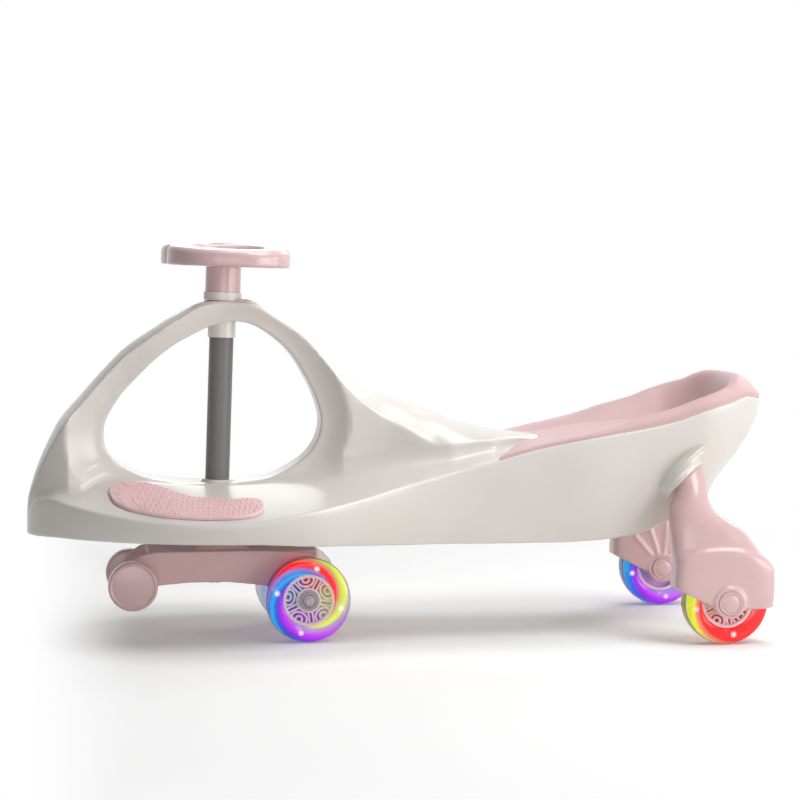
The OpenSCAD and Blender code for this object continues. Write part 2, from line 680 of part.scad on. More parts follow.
// steering wheel: two loops joined at the hub
function loop_y(a) = grip_span / 4 + (grip_span / 4) * sign(cos(a)) * pow(abs(cos(a)), 0.75);
function loop_x(a) = grip_depth / 2 * sign(sin(a)) * pow(abs(sin(a)), 0.85)
    * (0.8 + 0.2 * sin(90 * clamp01(loop_y(a) * 3 / grip_span)));
hole_inner_y = hub_dome_d * 0.47;
hole_mid_y = (hole_inner_y + grip_span / 2 - grip_bar) / 2;
hole_half_y = (grip_span / 2 - grip_bar - hole_inner_y) / 2;
hole_half_x = grip_depth / 2 - grip_bar;
function hand_hole(a) = [hole_half_x * sign(sin(a)) * pow(abs(sin(a)), 0.75),
    hole_mid_y + hole_half_y * sign(cos(a)) * pow(abs(cos(a)), 0.75)];
module half_grip() {
    difference() {
        polygon([for (a = [0:6:354]) [loop_x(a), loop_y(a)]]);
        polygon([for (a = [0:9:351]) hand_hole(a)]);
    }
}
module steering_wheel() {
    color(pink) {
        along_column() {
            difference() {
                union() {
                    translate([0, 0, wheel_from]) {
                        linear_extrude(height = grip_t) {
                            half_grip();
                        }
                    }
                    translate([0, 0, wheel_from]) {
                        mirror([0, 1, 0]) {
                            linear_extrude(height = grip_t) {
                                half_grip();
                            }
                        }
                    }
                    translate([0, 0, wheel_from]) {
                        rotate_extrude() {
                            polygon([[0, 0], [hub_dome_d / 2, 0], [hub_dome_d / 2, 0.8 * grip_t],
                                [0.4 * hub_dome_d, wheel_top - wheel_from],
                                [cap_d / 2 + wall, dome_top - wheel_from], [0, dome_top - wheel_from]]);
                        }
                    }
                }
                rod(shaft_d + 2 * seat_fit, wheel_from - wall, shaft_top + seat_fit);
                rod(bolt_d + seat_fit, wheel_from, dome_top + wall);
                rod(bolt_head_d + wall, shaft_top + wall, dome_top + wall);
            }
        }
    }
}
module hex_bolt(length) {
    rod(bolt_d, -length, 0);
    cylinder(d = bolt_head_d, h = bolt_head_h, $fn = 6);
}
module steering_bolt() {
    color(steel) {
        along_column(shaft_top + wall + 0.2 * seat_fit) {
            hex_bolt(5 * wall);
        }
    }
}
module hub_cap() {
    color(pink) {
        along_column(dome_top + 0.2 * seat_fit) {
            rotate_extrude() {
                polygon([[0, 0], [cap_d / 2, 0], [cap_d / 2, 0.55 * cap_h], [0.46 * cap_d, 0.75 * cap_h],
                    [0.38 * cap_d, 0.92 * cap_h], [0.2 * cap_d, cap_h], [0, cap_h]]);
            }
        }
    }
}

// truck
axle_x = column_x + axle_z * sin(column_lean) + trail;
roller_x = column_x + roller_z * sin(column_lean) - roller_lead;
arm_span = axle_x - roller_x;
arm_y = truck_width / 2;
// along the arm from roller (0) to axle (1), and up as a share of the truck's top
arm_top_shares = [[-0.061, 0.66], [-0.022, 0.81], [0.056, 0.91], [0.144, 0.94], [0.656, 0.94],
    [0.933, 0.92], [1.06, 0.88], [1.083, 0.8]];
arm_low_shares = [[0.889, 0.5], [0.767, 0.565], [0.544, 0.61], [0.322, 0.61], [0.111, 0.58],
    [0.044, 0.52], [-0.011, 0.49], [-0.061, 0.56]];
plinth_shares = [[0.31, 0.92], [0.39, 0.98], [0.64, 0.98], [0.69, 0.92]];
module arm_side() {
    polygon(concat([for (p = arm_top_shares) [roller_x + p[0] * arm_span, p[1] * truck_top]],
        [for (a = [0:-30:-150]) [axle_x + 0.083 * arm_span * cos(a), axle_z + 0.083 * arm_span * sin(a)]],
        [for (p = arm_low_shares) [roller_x + p[0] * arm_span, p[1] * truck_top]]));
}
module truck_frame() {
    color(pink) {
        difference() {
            union() {
                both_sides() {
                    translate([0, arm_y, 0]) {
                        rotate([90, 0, 0]) {
                            linear_extrude(height = arm_t) {
                                arm_side();
                            }
                        }
                    }
                }
                translate([roller_x + 0.09 * arm_span, -arm_y + arm_t / 2, 0.87 * truck_top]) {
                    cube([0.98 * arm_span, truck_width - arm_t, 0.06 * truck_top]);
                }
                translate([0, 0.36 * truck_width, 0]) {
                    rotate([90, 0, 0]) {
                        linear_extrude(height = 0.72 * truck_width) {
                            polygon([for (p = plinth_shares) [roller_x + p[0] * arm_span, p[1] * truck_top]]);
                        }
                    }
                }
                along_column() {
                    rod(shaft_d + 5 * wall, king_floor, truck_top);
                }
                for (s = [0.25, 0.85]) {
                    translate([roller_x + s * arm_span, -arm_y + arm_t / 2, 0.64 * truck_top]) {
                        cube([wall, truck_width - arm_t, 0.25 * truck_top]);
                    }
                }
            }
            along_column() {
                rod(shaft_d + 2 * run_fit, shaft_foot, truck_top + wall);
            }
            along_column() {
                rod(bolt_d + seat_fit, king_floor - wall, truck_top);
            }
            across(axle_x, axle_z) {
                cylinder(d = axle_d + 2 * run_fit, h = 2 * truck_width, center = true);
            }
            across(roller_x, roller_z) {
                cylinder(d = axle_d + 2 * run_fit, h = 2 * truck_width, center = true);
            }
        }
    }
}
module thrust_washer() {
    color(steel) {
        along_column() {
            tube(deck_bush_d + 2 * wall, shaft_d + 2 * seat_fit, truck_top + seat_fit,
                truck_top + seat_fit + washer_t);
        }
    }
}
module king_bolt() {
    color(steel) {
        along_column(king_floor - 0.2 * seat_fit) {
            rotate([180, 0, 0]) {
                hex_bolt(6 * wall);
            }
        }
    }
}
front_y = front_track / 2;
bearing_out = bearing_w + 0.5 * bearing_w;
front_end = front_y + bearing_out;
nut_h = 0.8 * axle_d;
nut_d = 1.9 * axle_d;
module front_axle() {
    color(steel) {
        across(axle_x, axle_z) {
            cylinder(d = axle_d, h = 2 * (front_end + washer_t + nut_h + wall / 2), center = true);
        }
    }
}
module on_front_axle() {
    across(axle_x, axle_z) {
        children();
    }
}
module front_spacers() {
    color(steel) {
        both_sides() {
            on_front_axle() {
                tube(1.7 * axle_d, axle_d + 2 * run_fit, arm_y + 0.2 * seat_fit,
                    front_y - bearing_out - seat_fit);
            }
        }
    }
}
module front_washers() {
    color(steel) {
        both_sides() {
            on_front_axle() {
                tube(2 * axle_d, axle_d + 2 * run_fit, front_end + seat_fit,
                    front_end + seat_fit + 0.75 * washer_t);
            }
        }
    }
}
module front_nuts() {
    color(steel) {
        both_sides() {
            on_front_axle() {
                difference() {
                    translate([0, 0, front_end + 1.3 * seat_fit + 0.75 * washer_t]) {
                        cylinder(d = nut_d, h = nut_h, $fn = 6);
                    }
                    rod(axle_d + 2 * run_fit, 0, 2 * front_end);
                }
            }
        }
    }
}
roller_y = arm_y + 3 * wall / 4;
module roller_pins() {
    color(steel) {
        both_sides() {
            across(roller_x, roller_z) {
                rod(axle_d, arm_y - arm_t - 0.5 * wall, roller_y + 0.7 * roller_w);
                rod(1.6 * axle_d, arm_y - arm_t - wall, arm_y - arm_t - 0.2 * seat_fit);
            }
        }
    }
}
module right_roller() {
    color(pink) {
        across(roller_x, roller_z) {
            translate([0, 0, roller_y]) {
                rotate_extrude() {
                    polygon([[axle_d / 2 + run_fit, 0], [0.45 * roller_d, 0],
                        [0.5 * roller_d, 0.05 * roller_d], [0.5 * roller_d, roller_w - 0.04 * roller_d],
                        [0.47 * roller_d, roller_w],
                        [0.43 * roller_d, roller_w], [0.42 * roller_d, 0.93 * roller_w],
                        [0, 0.93 * roller_w], [0, 0.72 * roller_w], [axle_d / 2 + run_fit, 0.72 * roller_w]]);
                }
            }
        }
    }
}
module left_roller() {
    left_side() {
        right_roller();
    }
}

// wheels, built about their own centre with the outer side up
hub_r = hub_d / 2;
tyre_r = wheel_d / 2;
rim_t = 0.12 * hub_r;
ring_half = 0.14 * wheel_w;
ring_in = hub_r - 0.6 * rim_t;
ring_out = hub_r + 0.6 * rim_t;
bore_r = bearing_d / 2;
web_half = 0.5 * bearing_w;
tyre_round = 0.25 * wheel_w;
tyre_in = hub_r + run_fit;
tyre_half = wheel_w / 2;
tyre_lip = 0.3 * tyre_round;
function tyre_edge(a, k) = [tyre_r - tyre_round + tyre_round * cos(a),
    k * (tyre_half - tyre_round) + tyre_round * sin(a)];
module tyre() {
    color(clear) {
        rotate_extrude() {
            polygon(concat([[tyre_in, -tyre_half + tyre_lip], [hub_r + tyre_lip, -tyre_half]],
                [for (a = [-90:18:0]) tyre_edge(a, -1)],
                [for (a = [0:18:90]) tyre_edge(a, 1)],
                [[hub_r + tyre_lip, tyre_half], [tyre_in, tyre_half - tyre_lip],
                [tyre_in, ring_half + run_fit], [ring_out + run_fit, ring_half + run_fit],
                [ring_out + run_fit, -ring_half - run_fit], [tyre_in, -ring_half - run_fit]]));
        }
    }
}
hub_bore_r = bore_r + run_fit;
hub_well_r = hub_r - rim_t;
hub_face = 0.3 * wheel_w;
hub_lip = 0.44 * wheel_w;
boss_half = web_half + bearing_w;
groove_half = ring_half + run_fit;
groove_r = ring_in - run_fit;
module hub() {
    color(pink) {
        rotate_extrude() {
            polygon([[hub_bore_r, boss_half], [hub_bore_r, web_half], [0.82 * bore_r, web_half],
                [0.82 * bore_r, -web_half], [hub_bore_r, -web_half], [hub_bore_r, -boss_half],
                [1.25 * bore_r, -boss_half], [1.3 * bore_r, -hub_face], [hub_well_r, -hub_face],
                [hub_well_r, -hub_lip], [hub_r, -hub_lip], [hub_r, -groove_half], [groove_r, -groove_half],
                [groove_r, groove_half], [hub_r, groove_half], [hub_r, hub_lip], [hub_well_r, hub_lip],
                [hub_well_r, hub_face], [1.3 * bore_r, hub_face], [1.25 * bore_r, boss_half]]);
        }
    }
}
module bearings() {
    color(steel) {
        for (k = [-1, 1]) {
            translate([0, 0, k * (web_half + bearing_w / 2)]) {
                tube(bearing_d, axle_d + 2 * run_fit, -bearing_w / 2 + run_fit, bearing_w / 2);
            }
        }
    }
}
module lights() {
    color(light) {
        tube(2 * ring_out, 2 * ring_in, -ring_half, ring_half);
    }
}
module core() {
    color(dark) {
        tube(1.62 * bore_r, axle_d + 2 * run_fit, -web_half + run_fit, web_half - run_fit);
    }
}
module at_front_wheel() {
    across(axle_x, axle_z) {
        translate([0, 0, front_y]) {
            children();
        }
    }
}
module at_rear_wheel() {
    across(rear_x, axle_z) {
        translate([0, 0, rear_y]) {
            children();
        }
    }
}

// rear legs
rear_y = tub_y + wheel_out;
well_half = wheel_w / 2 + wheel_gap;
well_r = tyre_r + 2 * wheel_gap;
fender_in = rear_y - well_half - fender_wall;
fender_out = rear_y + well_half + fender_wall;
fender_mid = (fender_in + fender_out) / 2;
fender_half = (fender_out - fender_in) / 2;
fender_reach = well_r + 1.2 * fender_wall;
leg_rise = tenon_z - axle_z;
// up from the axle, front and rear reach, inner and outer reach, squareness
leg_shares = [[-0.07, -1, 0.9, -1, 1, 6], [0.16, -1, 0.92, -1, 1, 6], [0.35, -0.99, 0.92, -1, 1, 5],
    [0.47, -0.98, 0.83, -1, 1, 4.5], [0.6, -1.01, 0.62, -1.02, 0.98, 4], [0.735, -1.03, 0.33, -1.09, 0.9, 3],
    [0.84, -1.02, 0.02, -1.23, 0.66, 2.6], [0.95, -0.98, -0.22, -1.42, 0.38, 2.3],
    [1.04, -0.9, -0.27, -1.57, 0.19, 2.1], [1.14, -0.85, -0.26, -1.72, 0, 2]];
leg_cols = 24;
function squircle(a, e) = [sign(cos(a)) * pow(abs(cos(a)), 2 / e), sign(sin(a)) * pow(abs(sin(a)), 2 / e)];
function leg_ring(p) = [for (k = [0:leg_cols - 1]) let (q = squircle(360 * k / leg_cols, p[5]))
    [rear_x + fender_reach * ((p[1] + p[2]) / 2 + q[0] * (p[2] - p[1]) / 2),
    fender_mid + fender_half * ((p[3] + p[4]) / 2 + q[1] * (p[4] - p[3]) / 2), axle_z + p[0] * leg_rise]];
module leg_form() {
    rows = len(leg_shares);
    polyhedron(points = [for (p = leg_shares) each leg_ring(p)],
        faces = concat(side_faces(rows, leg_cols), cap_faces(0, leg_cols, false),
            cap_faces(rows - 1, leg_cols, true)));
}
boss_r = 0.68 * axle_cap_d;
module right_rear_leg() {
    color(pink) {
        difference() {
            union() {
                leg_form();
                tenon_frame() {
                    rod(tenon_d, 0, tenon_h);
                }
                across(rear_x, axle_z) {
                    rod(2 * boss_r, fender_out - fender_wall, fender_out + 0.6 * fender_wall);
                }
                across(rear_x, axle_z) {
                    rod(2 * boss_r, fender_in - 0.4 * fender_wall, fender_in + fender_wall);
                }
            }
            across(rear_x, axle_z) {
                rod(2 * well_r, rear_y - well_half, rear_y + well_half);
            }
            translate([rear_x, fender_out + fender_wall, axle_z]) {
                rotate([90, 0, 0]) {
                    linear_extrude(height = 4 * fender_half) {
                        polygon([[-1.4 * fender_reach, 0.5 * well_r], [-0.93 * fender_reach, 0.27 * well_r],
                            [-0.3 * fender_reach, -0.1 * well_r], [-0.3 * fender_reach, -well_r],
                            [-1.4 * fender_reach, -well_r]]);
                    }
                }
            }
            across(rear_x, axle_z) {
                rod(axle_d + 2 * run_fit, 0, 2 * rear_y);
            }
            across(rear_x, axle_z) {
                rod(axle_cap_d + 2 * seat_fit, fender_out, 2 * rear_y);
            }
            across(rear_x, axle_z) {
                rod(axle_cap_d + 2 * seat_fit, 0, fender_in);
            }
            tenon_frame() {
                rod(bolt_d + 2 * run_fit, tenon_h - 6 * wall, tenon_h + wall);
            }
        }
    }
}
module left_rear_leg() {
    left_side() {
        right_rear_leg();
    }
}
module leg_bolts() {
    color(steel) {
        both_sides() {
            tenon_frame() {
                translate([0, 0, tenon_h + wall + seat_fit]) {
                    hex_bolt(5 * wall);
                }
            }
        }
    }
}
module rear_axles() {
    color(steel) {
        both_sides() {
            across(rear_x, axle_z) {
                rod(axle_d, fender_in + 0.1 * seat_fit, fender_out - 0.1 * seat_fit);
            }
        }
    }
}
module rear_spacers() {
    color(steel) {
        both_sides() {
            across(rear_x, axle_z) {
                tube(1.7 * axle_d, axle_d + 2 * run_fit, rear_y - well_half + 0.2 * seat_fit,
                    rear_y - bearing_out - seat_fit);
                tube(1.7 * axle_d, axle_d + 2 * run_fit, rear_y + bearing_out + seat_fit,
                    rear_y + well_half - 0.2 * seat_fit);
            }
        }
    }
}
module rear_caps() {
    color(pink) {
        both_sides() {
            across(rear_x, axle_z) {
                rod(axle_cap_d, fender_out + 0.2 * seat_fit, fender_out + 0.8 * fender_wall);
                rod(axle_cap_d, fender_in - 0.6 * fender_wall, fender_in - 0.2 * seat_fit);
            }
        }
    }
}

body_shell();
underside_pan();
pan_screws();
seat();
seat_screws();
left_foot_pad();
right_foot_pad();
head_collar();
deck_bush();
steering_shaft();
column_sleeve();
steering_wheel();
hub_cap();
steering_bolt();
truck_frame();
thrust_washer();
king_bolt();
front_axle();
front_spacers();
front_washers();
front_nuts();
roller_pins();
left_roller();
right_roller();
left_side() at_front_wheel() tyre();  // left_front_tyre
left_side() at_front_wheel() hub();  // left_front_hub
left_side() at_front_wheel() bearings();  // left_front_bearings
left_side() at_front_wheel() lights();  // left_front_lights
left_side() at_front_wheel() core();  // left_front_core
at_front_wheel() tyre();  // right_front_tyre
at_front_wheel() hub();  // right_front_hub
at_front_wheel() bearings();  // right_front_bearings
at_front_wheel() lights();  // right_front_lights
at_front_wheel() core();  // right_front_core
left_side() at_rear_wheel() tyre();  // left_rear_tyre
left_side() at_rear_wheel() hub();  // left_rear_hub
left_side() at_rear_wheel() bearings();  // left_rear_bearings
left_side() at_rear_wheel() lights();  // left_rear_lights
left_side() at_rear_wheel() core();  // left_rear_core
at_rear_wheel() tyre();  // right_rear_tyre
at_rear_wheel() hub();  // right_rear_hub
at_rear_wheel() bearings();  // right_rear_bearings
at_rear_wheel() lights();  // right_rear_lights
at_rear_wheel() core();  // right_rear_core
left_rear_leg();
right_rear_leg();
leg_bolts();
rear_axles();
rear_spacers();
rear_caps();
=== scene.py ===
import math

import bmesh
import bpy
import numpy as np
from mathutils import Matrix, Vector


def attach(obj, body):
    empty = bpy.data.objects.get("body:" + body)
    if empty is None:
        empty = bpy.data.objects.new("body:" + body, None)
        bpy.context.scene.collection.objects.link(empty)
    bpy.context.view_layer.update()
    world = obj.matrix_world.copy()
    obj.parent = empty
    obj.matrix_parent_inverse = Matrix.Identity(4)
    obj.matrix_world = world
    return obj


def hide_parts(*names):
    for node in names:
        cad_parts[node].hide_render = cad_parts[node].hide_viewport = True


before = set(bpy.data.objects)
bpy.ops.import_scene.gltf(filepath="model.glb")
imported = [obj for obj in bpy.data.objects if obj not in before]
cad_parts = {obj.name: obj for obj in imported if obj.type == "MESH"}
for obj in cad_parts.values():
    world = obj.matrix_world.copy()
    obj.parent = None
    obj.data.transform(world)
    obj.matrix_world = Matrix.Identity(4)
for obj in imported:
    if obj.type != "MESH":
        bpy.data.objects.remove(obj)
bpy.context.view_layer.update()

# Sizes are in millimetres, in the frame of the solids: X from nose to tail, Y across, Z up from the floor.
MM = 0.001
BODY_LENGTH = 790.0
HALF_WIDTH = 152.0
CLEARANCE = 110.0
DECK = 133.0
HEAD = 355.0
HALF_ARCH = 33.0
WALL = 4.0
FIT = 0.3
COLUMN_X = -202.5
COLUMN_LEAN = 2.0
TUB_Y = 0.74 * HALF_WIDTH
AXLE_Z = 44.0
FRONT_X = -107.96
FRONT_Y = 62.0
REAR_X = 316.0
REAR_Y = TUB_Y + 21.5
TYRE_R = 44.0
TYRE_HALF = 13.5
HUB_R = 27.0
# Ends of cuts that pass right through the deck or a leg, and how far a cut reaches to each side of the body.
THROUGH = (60.0, 200.0)
PAST = 200.0

# Lines of the body along its length, from 0 at the nose to 1 at the tail, as shares of the sizes above.
WAIST = [(0, 1), (0.31, 1), (0.344, 0.99), (0.424, 0.868), (0.5, 0.75), (0.576, 0.701), (0.652, 0.701),
         (0.753, 0.737), (0.854, 0.74), (1, 0.74)]
CROWN = [(0, 0.355), (0.001, 0.403), (0.006, 0.454), (0.018, 0.53), (0.032, 0.597), (0.044, 0.645),
         (0.071, 0.715), (0.097, 0.78), (0.13, 0.854), (0.165, 0.907), (0.197, 0.952), (0.23, 0.989),
         (0.259, 1), (0.284, 1), (0.304, 0.989), (0.324, 0.963), (0.365, 0.904), (0.391, 0.842),
         (0.418, 0.772), (0.432, 0.746), (0.459, 0.721), (0.5, 0.69), (0.542, 0.656), (0.582, 0.625),
         (0.624, 0.603), (0.658, 0.592), (0.687, 0.582), (0.694, 0.535), (1, 0.282)]
CROWN_DROP = [(0, 0.014), (0.032, 0.025), (0.07, 0.023), (0.13, 0.02), (0.196, 0.017), (0.259, 0.014),
              (0.324, 0.017), (0.373, 0.023), (0.418, 0.031), (0.443, 0.048), (0.47, 0.07), (0.5, 0.079),
              (0.53, 0.093), (0.57, 0.085), (0.596, 0.073), (0.624, 0.042), (0.658, 0.02), (0.687, 0.011),
              (0.703, 0.002), (1, 0.002)]
RIM = [(0, 0.962), (0.013, 1.128), (0.032, 1.15), (0.057, 1.113), (0.105, 1.06), (0.167, 1.015), (0.224, 1),
       (0.281, 1.015), (0.344, 1.068), (0.413, 1.143), (0.477, 1.237), (0.543, 1.331), (0.595, 1.406),
       (0.665, 1.515), (0.741, 1.602), (0.806, 1.669), (0.847, 1.722), (0.873, 1.774), (0.918, 1.85),
       (0.951, 1.895), (0.981, 1.872), (1, 1.85)]
RISE = [(0, 0.008), (0.019, 0.023), (0.057, 0.13), (0.105, 0.265), (0.15, 0.29), (0.19, 0.272),
        (0.224, 0.25), (0.281, 0.226), (0.344, 0.203), (0.413, 0.203), (0.477, 0.188), (0.543, 0.15),
        (0.595, 0.09), (0.627, 0.015), (0.662, -0.023), (0.69, -0.068), (0.753, -0.098), (0.816, -0.135),
        (0.88, -0.226), (0.93, -0.316), (0.968, -0.301), (1, 0.006)]
BOW = [(0, 1.3), (0.551, 1.3), (0.69, 3), (1, 3)]
FILLET = [(0, 0.008), (0.019, 0.03), (0.057, 0.105), (0.105, 0.165), (0.184, 0.15), (0.31, 0.15),
          (0.373, 0.165), (0.424, 0.18), (0.475, 0.18), (0.53, 0.15), (0.57, 0.12), (0.601, 0.105),
          (0.635, 0.09), (0.662, 0.06), (0.687, 0.03), (0.703, 0.008), (1, 0.006)]
WEB = [(0, 0.909), (0.018, 1.091), (0.044, 1.394), (0.07, 1.303), (0.097, 1.212), (0.13, 1.121),
       (0.184, 1.045), (0.257, 1), (0.335, 1), (0.386, 1.03), (0.424, 1.121), (0.47, 1.333), (0.53, 1.758),
       (0.57, 2), (0.601, 2), (0.633, 1.576), (0.662, 0.909), (0.687, 0.303), (0.703, 0.182), (1, 0.121)]
KEEL = [(0, 1), (0.043, 1.009), (0.28, 1.009), (0.373, 0.973), (0.5, 0.936), (0.681, 0.918), (0.741, 0.936),
        (0.768, 0.955), (0.803, 1), (0.837, 1.082), (0.88, 1.155), (0.934, 1.3), (0.959, 1.491),
        (0.976, 1.691), (0.99, 1.891), (0.997, 2.055), (1, 2.145)]
KEEL_WIDTH = [(0, 0.93), (0.224, 0.95), (0.373, 0.92), (0.5, 0.88), (0.627, 0.84), (0.753, 0.81),
              (0.854, 0.78), (0.93, 0.72), (1, 0.6)]
# Where the nose has its full width and the tail starts to round in, and how they and the sections round.
NOSE_END, NOSE_POWER, NOSE_RIM = 0.31, 0.62, 0.75
TAIL_START, TAIL_SPAN = 0.88, 0.12
ROUND_IN = 0.999
RIM_ROUND, FOOT_MOST, WEB_MOST = 0.12, 0.25, 0.6
SKIRT_BOW, CROWN_BOW = 1.8, 2.2
CREASE_LIFT = 0.1 * WALL
# Radii of the hole under the arch, every 15 degrees from the tail side upward.
HOLE = [1.07, 1.05, 1.036, 1.059, 1.085, 1.107, 1.061, 0.988, 0.957, 0.955, 0.993, 1.085,
        1.188, 1.175, 0.985, 0.798, 0.685, 0.616, 0.605, 0.612, 0.664, 0.764, 0.873, 1.004]
HOLE_TOP, HOLE_FOOT = HOLE[6], HOLE[18]
HOLE_X = (0.252 - 0.5) * BODY_LENGTH
HOLE_WIDE = 0.1266 * BODY_LENGTH
HOLE_LOW = 1.2143 * DECK
HOLE_TALL = (0.9242 * HEAD - HOLE_LOW) / (HOLE_TOP + HOLE_FOOT)
HOLE_Z = HOLE_LOW + HOLE_FOOT * HOLE_TALL
# The arch thins towards its hole: share left at the edge, then the cove's width, change and curve.
HOLE_EDGE = 0.58
HOLE_BAND, HOLE_SWING, HOLE_COVE = 0.34, 0.06, 1.7


def hermite(a, b, slope_a, slope_b, t):
    return ((1 + 2 * t) * (1 - t) ** 2 * a + t * (1 - t) ** 2 * slope_a
            + t * t * (3 - 2 * t) * b + t * t * (t - 1) * slope_b)


def curve(pairs, u):
    """Smooth curve through share pairs, without overshoot."""
    x, y = np.array(pairs, float).T
    chord = np.diff(y) / np.diff(x)
    slope = np.concatenate([chord[:1], np.zeros(len(chord) - 1), chord[-1:]])
    before, after = chord[:-1], chord[1:]
    same_way = before * after > 0
    slope[1:-1][same_way] = (2 * before * after)[same_way] / (before + after)[same_way]
    u = np.asarray(u, float)
    i = np.clip(np.searchsorted(x, u, side="right") - 1, 0, len(x) - 2)
    h = x[i + 1] - x[i]
    t = np.clip((u - x[i]) / h, 0, 1)
    return hermite(y[i], y[i + 1], h * slope[i], h * slope[i + 1], t)


def ring_value(values, degrees):
    """Smooth closed curve through equally spaced values."""
    v = np.array(values, float)
    n = len(v)
    at = np.asarray(degrees, float) * n / 360
    k = np.floor(at).astype(int)
    p = [v[(k + j) % n] for j in (-1, 0, 1, 2)]
    return hermite(p[1], p[2], (p[2] - p[0]) / 2, (p[3] - p[1]) / 2, at - k)


def rim_y(u):
    nose = np.where(u >= NOSE_END, 1, (1 - ROUND_IN * np.clip(1 - u / NOSE_END, 0, 1) ** 2) ** NOSE_POWER)
    tail = np.sqrt(1 - ROUND_IN * np.clip((u - TAIL_START) / TAIL_SPAN, 0, 1) ** 2)
    return HALF_WIDTH * curve(WAIST, u) * nose * tail


def keel_y(u):
    return rim_y(u) * curve(KEEL_WIDTH, u)


def keel_z(u):
    return CLEARANCE * curve(KEEL, u)


def rim_z(u):
    line = DECK * curve(RIM, u)
    low = keel_z(u)
    return np.where(u > NOSE_END, line, np.minimum(line, low + NOSE_RIM * (HEAD * curve(CROWN, u) - low)))


def rim_round(u):
    return np.minimum(WALL, RIM_ROUND * rim_y(u))


def deck_z(u, y):
    share = np.minimum(1, y / (rim_y(u) - rim_round(u)))
    return rim_z(u) + DECK * curve(RISE, u) * (1 - share ** curve(BOW, u))


def foot_r(u):
    return np.minimum(DECK * curve(FILLET, u), FOOT_MOST * rim_y(u))


def web_y(u):
    return np.minimum(HALF_ARCH * curve(WEB, u), WEB_MOST * rim_y(u))


def web_at(u, z):
    """Half thickness of the arch, which narrows towards its hole."""
    dx = ((u - 0.5) * BODY_LENGTH - HOLE_X) / HOLE_WIDE
    dz = (z - HOLE_Z) / HOLE_TALL
    turn = np.arctan2(dz, dx)
    reach = ring_value(HOLE, np.degrees(turn) % 360)
    k = np.clip((np.hypot(dx, dz) - reach) / (HOLE_BAND - HOLE_SWING * np.cos(turn)), 0, 1)
    return web_y(u) * (HOLE_EDGE + (1 - HOLE_EDGE) * k ** HOLE_COVE)


def foot_guess(u):
    return web_at(u, deck_z(u, web_y(u) + foot_r(u)) + foot_r(u))


def foot_z(u):
    return deck_z(u, foot_guess(u) + foot_r(u))


def crease_z(u):
    return np.maximum(foot_z(u) + foot_r(u) + CREASE_LIFT, HEAD * (curve(CROWN, u) - curve(CROWN_DROP, u)))


def crown_z(u):
    return np.maximum(HEAD * curve(CROWN, u), crease_z(u) + CREASE_LIFT)


# Mesh helpers: points come in millimetres and objects stand in metres.
WELD, SLIVER = 0.00002, 0.000005
SMOOTHING = 0.5


def made(name, points, faces):
    mesh = bpy.data.meshes.new(name)
    mesh.from_pydata((np.asarray(points, float) * MM).tolist(), [], [list(map(int, f)) for f in faces])
    obj = bpy.data.objects.new(name, mesh)
    bpy.context.scene.collection.objects.link(obj)
    return obj


def grid_faces(rows, cols, wrap_rows=False, wrap_cols=False, first=0, flip=False):
    faces = []
    for i in range(rows if wrap_rows else rows - 1):
        for j in range(cols if wrap_cols else cols - 1):
            a, b = i * cols + j, i * cols + (j + 1) % cols
            c, d = (i + 1) % rows * cols + (j + 1) % cols, (i + 1) % rows * cols + j
            face = (a + first, b + first, c + first, d + first)
            faces.append(face[::-1] if flip else face)
    return faces


def capped(rows, cols):
    """Faces of a tube of closed rings with both of its ends filled."""
    ends = [list(range(cols))[::-1], list(range((rows - 1) * cols, rows * cols))]
    return grid_faces(rows, cols, wrap_cols=True) + ends


def together(parts):
    """Several (points, faces) lists as one."""
    points, faces, n = [], [], 0
    for p, f in parts:
        points.append(np.asarray(p, float))
        faces += [[k + n for k in face] for face in f]
        n += len(p)
    return np.concatenate(points), faces


def lathe(profile, steps=96, closed=True):
    """Points and faces of a profile of (radius, height) turned round Z."""
    p = np.array(profile, float)
    a = np.linspace(0, 2 * np.pi, steps, endpoint=False)[:, None]
    height = np.broadcast_to(p[:, 1], (steps, len(p)))
    points = np.stack([p[:, 0] * np.cos(a), p[:, 0] * np.sin(a), height], -1)
    return points.reshape(-1, 3), grid_faces(steps, len(p), True, closed)


def rod(d, low, high, steps=96):
    return lathe([(0, low), (d / 2, low), (d / 2, high), (0, high)], steps, closed=False)


def moved(part, matrix):
    points, faces = part
    m = np.array(matrix)
    return np.asarray(points) @ m[:3, :3].T + m[:3, 3], faces


def mirrored(part):
    points, faces = part
    return np.asarray(points) * (1, -1, 1), [f[::-1] for f in faces]


COLUMN = Matrix.Translation((COLUMN_X, 0, 0)) @ Matrix.Rotation(math.radians(COLUMN_LEAN), 4, "Y")


def across(x, z, y=0):
    """A frame whose Z runs outward along the car's Y."""
    return Matrix.Translation((x, y, z)) @ Matrix.Rotation(math.radians(-90), 4, "X")


def settle(obj):
    """Makes the modifiers' result the object's own mesh."""
    dg = bpy.context.evaluated_depsgraph_get()
    mesh = bpy.data.meshes.new_from_object(obj.evaluated_get(dg))
    obj.modifiers.clear()
    old, obj.data = obj.data, mesh
    bpy.data.meshes.remove(old)
    return obj


def tidy_mesh(obj):
    bm = bmesh.new()
    bm.from_mesh(obj.data)
    bmesh.ops.remove_doubles(bm, verts=bm.verts, dist=WELD)
    bmesh.ops.dissolve_degenerate(bm, edges=bm.edges, dist=SLIVER)
    bmesh.ops.recalc_face_normals(bm, faces=bm.faces)
    bm.to_mesh(obj.data)
    bm.free()
    return obj


def combine(obj, part, operation):
    tool = tidy_mesh(made("tool", *part))
    mod = obj.modifiers.new("combine", "BOOLEAN")
    mod.object, mod.operation, mod.solver = tool, operation, "EXACT"
    settle(obj)
    bpy.data.objects.remove(tool)
    return obj


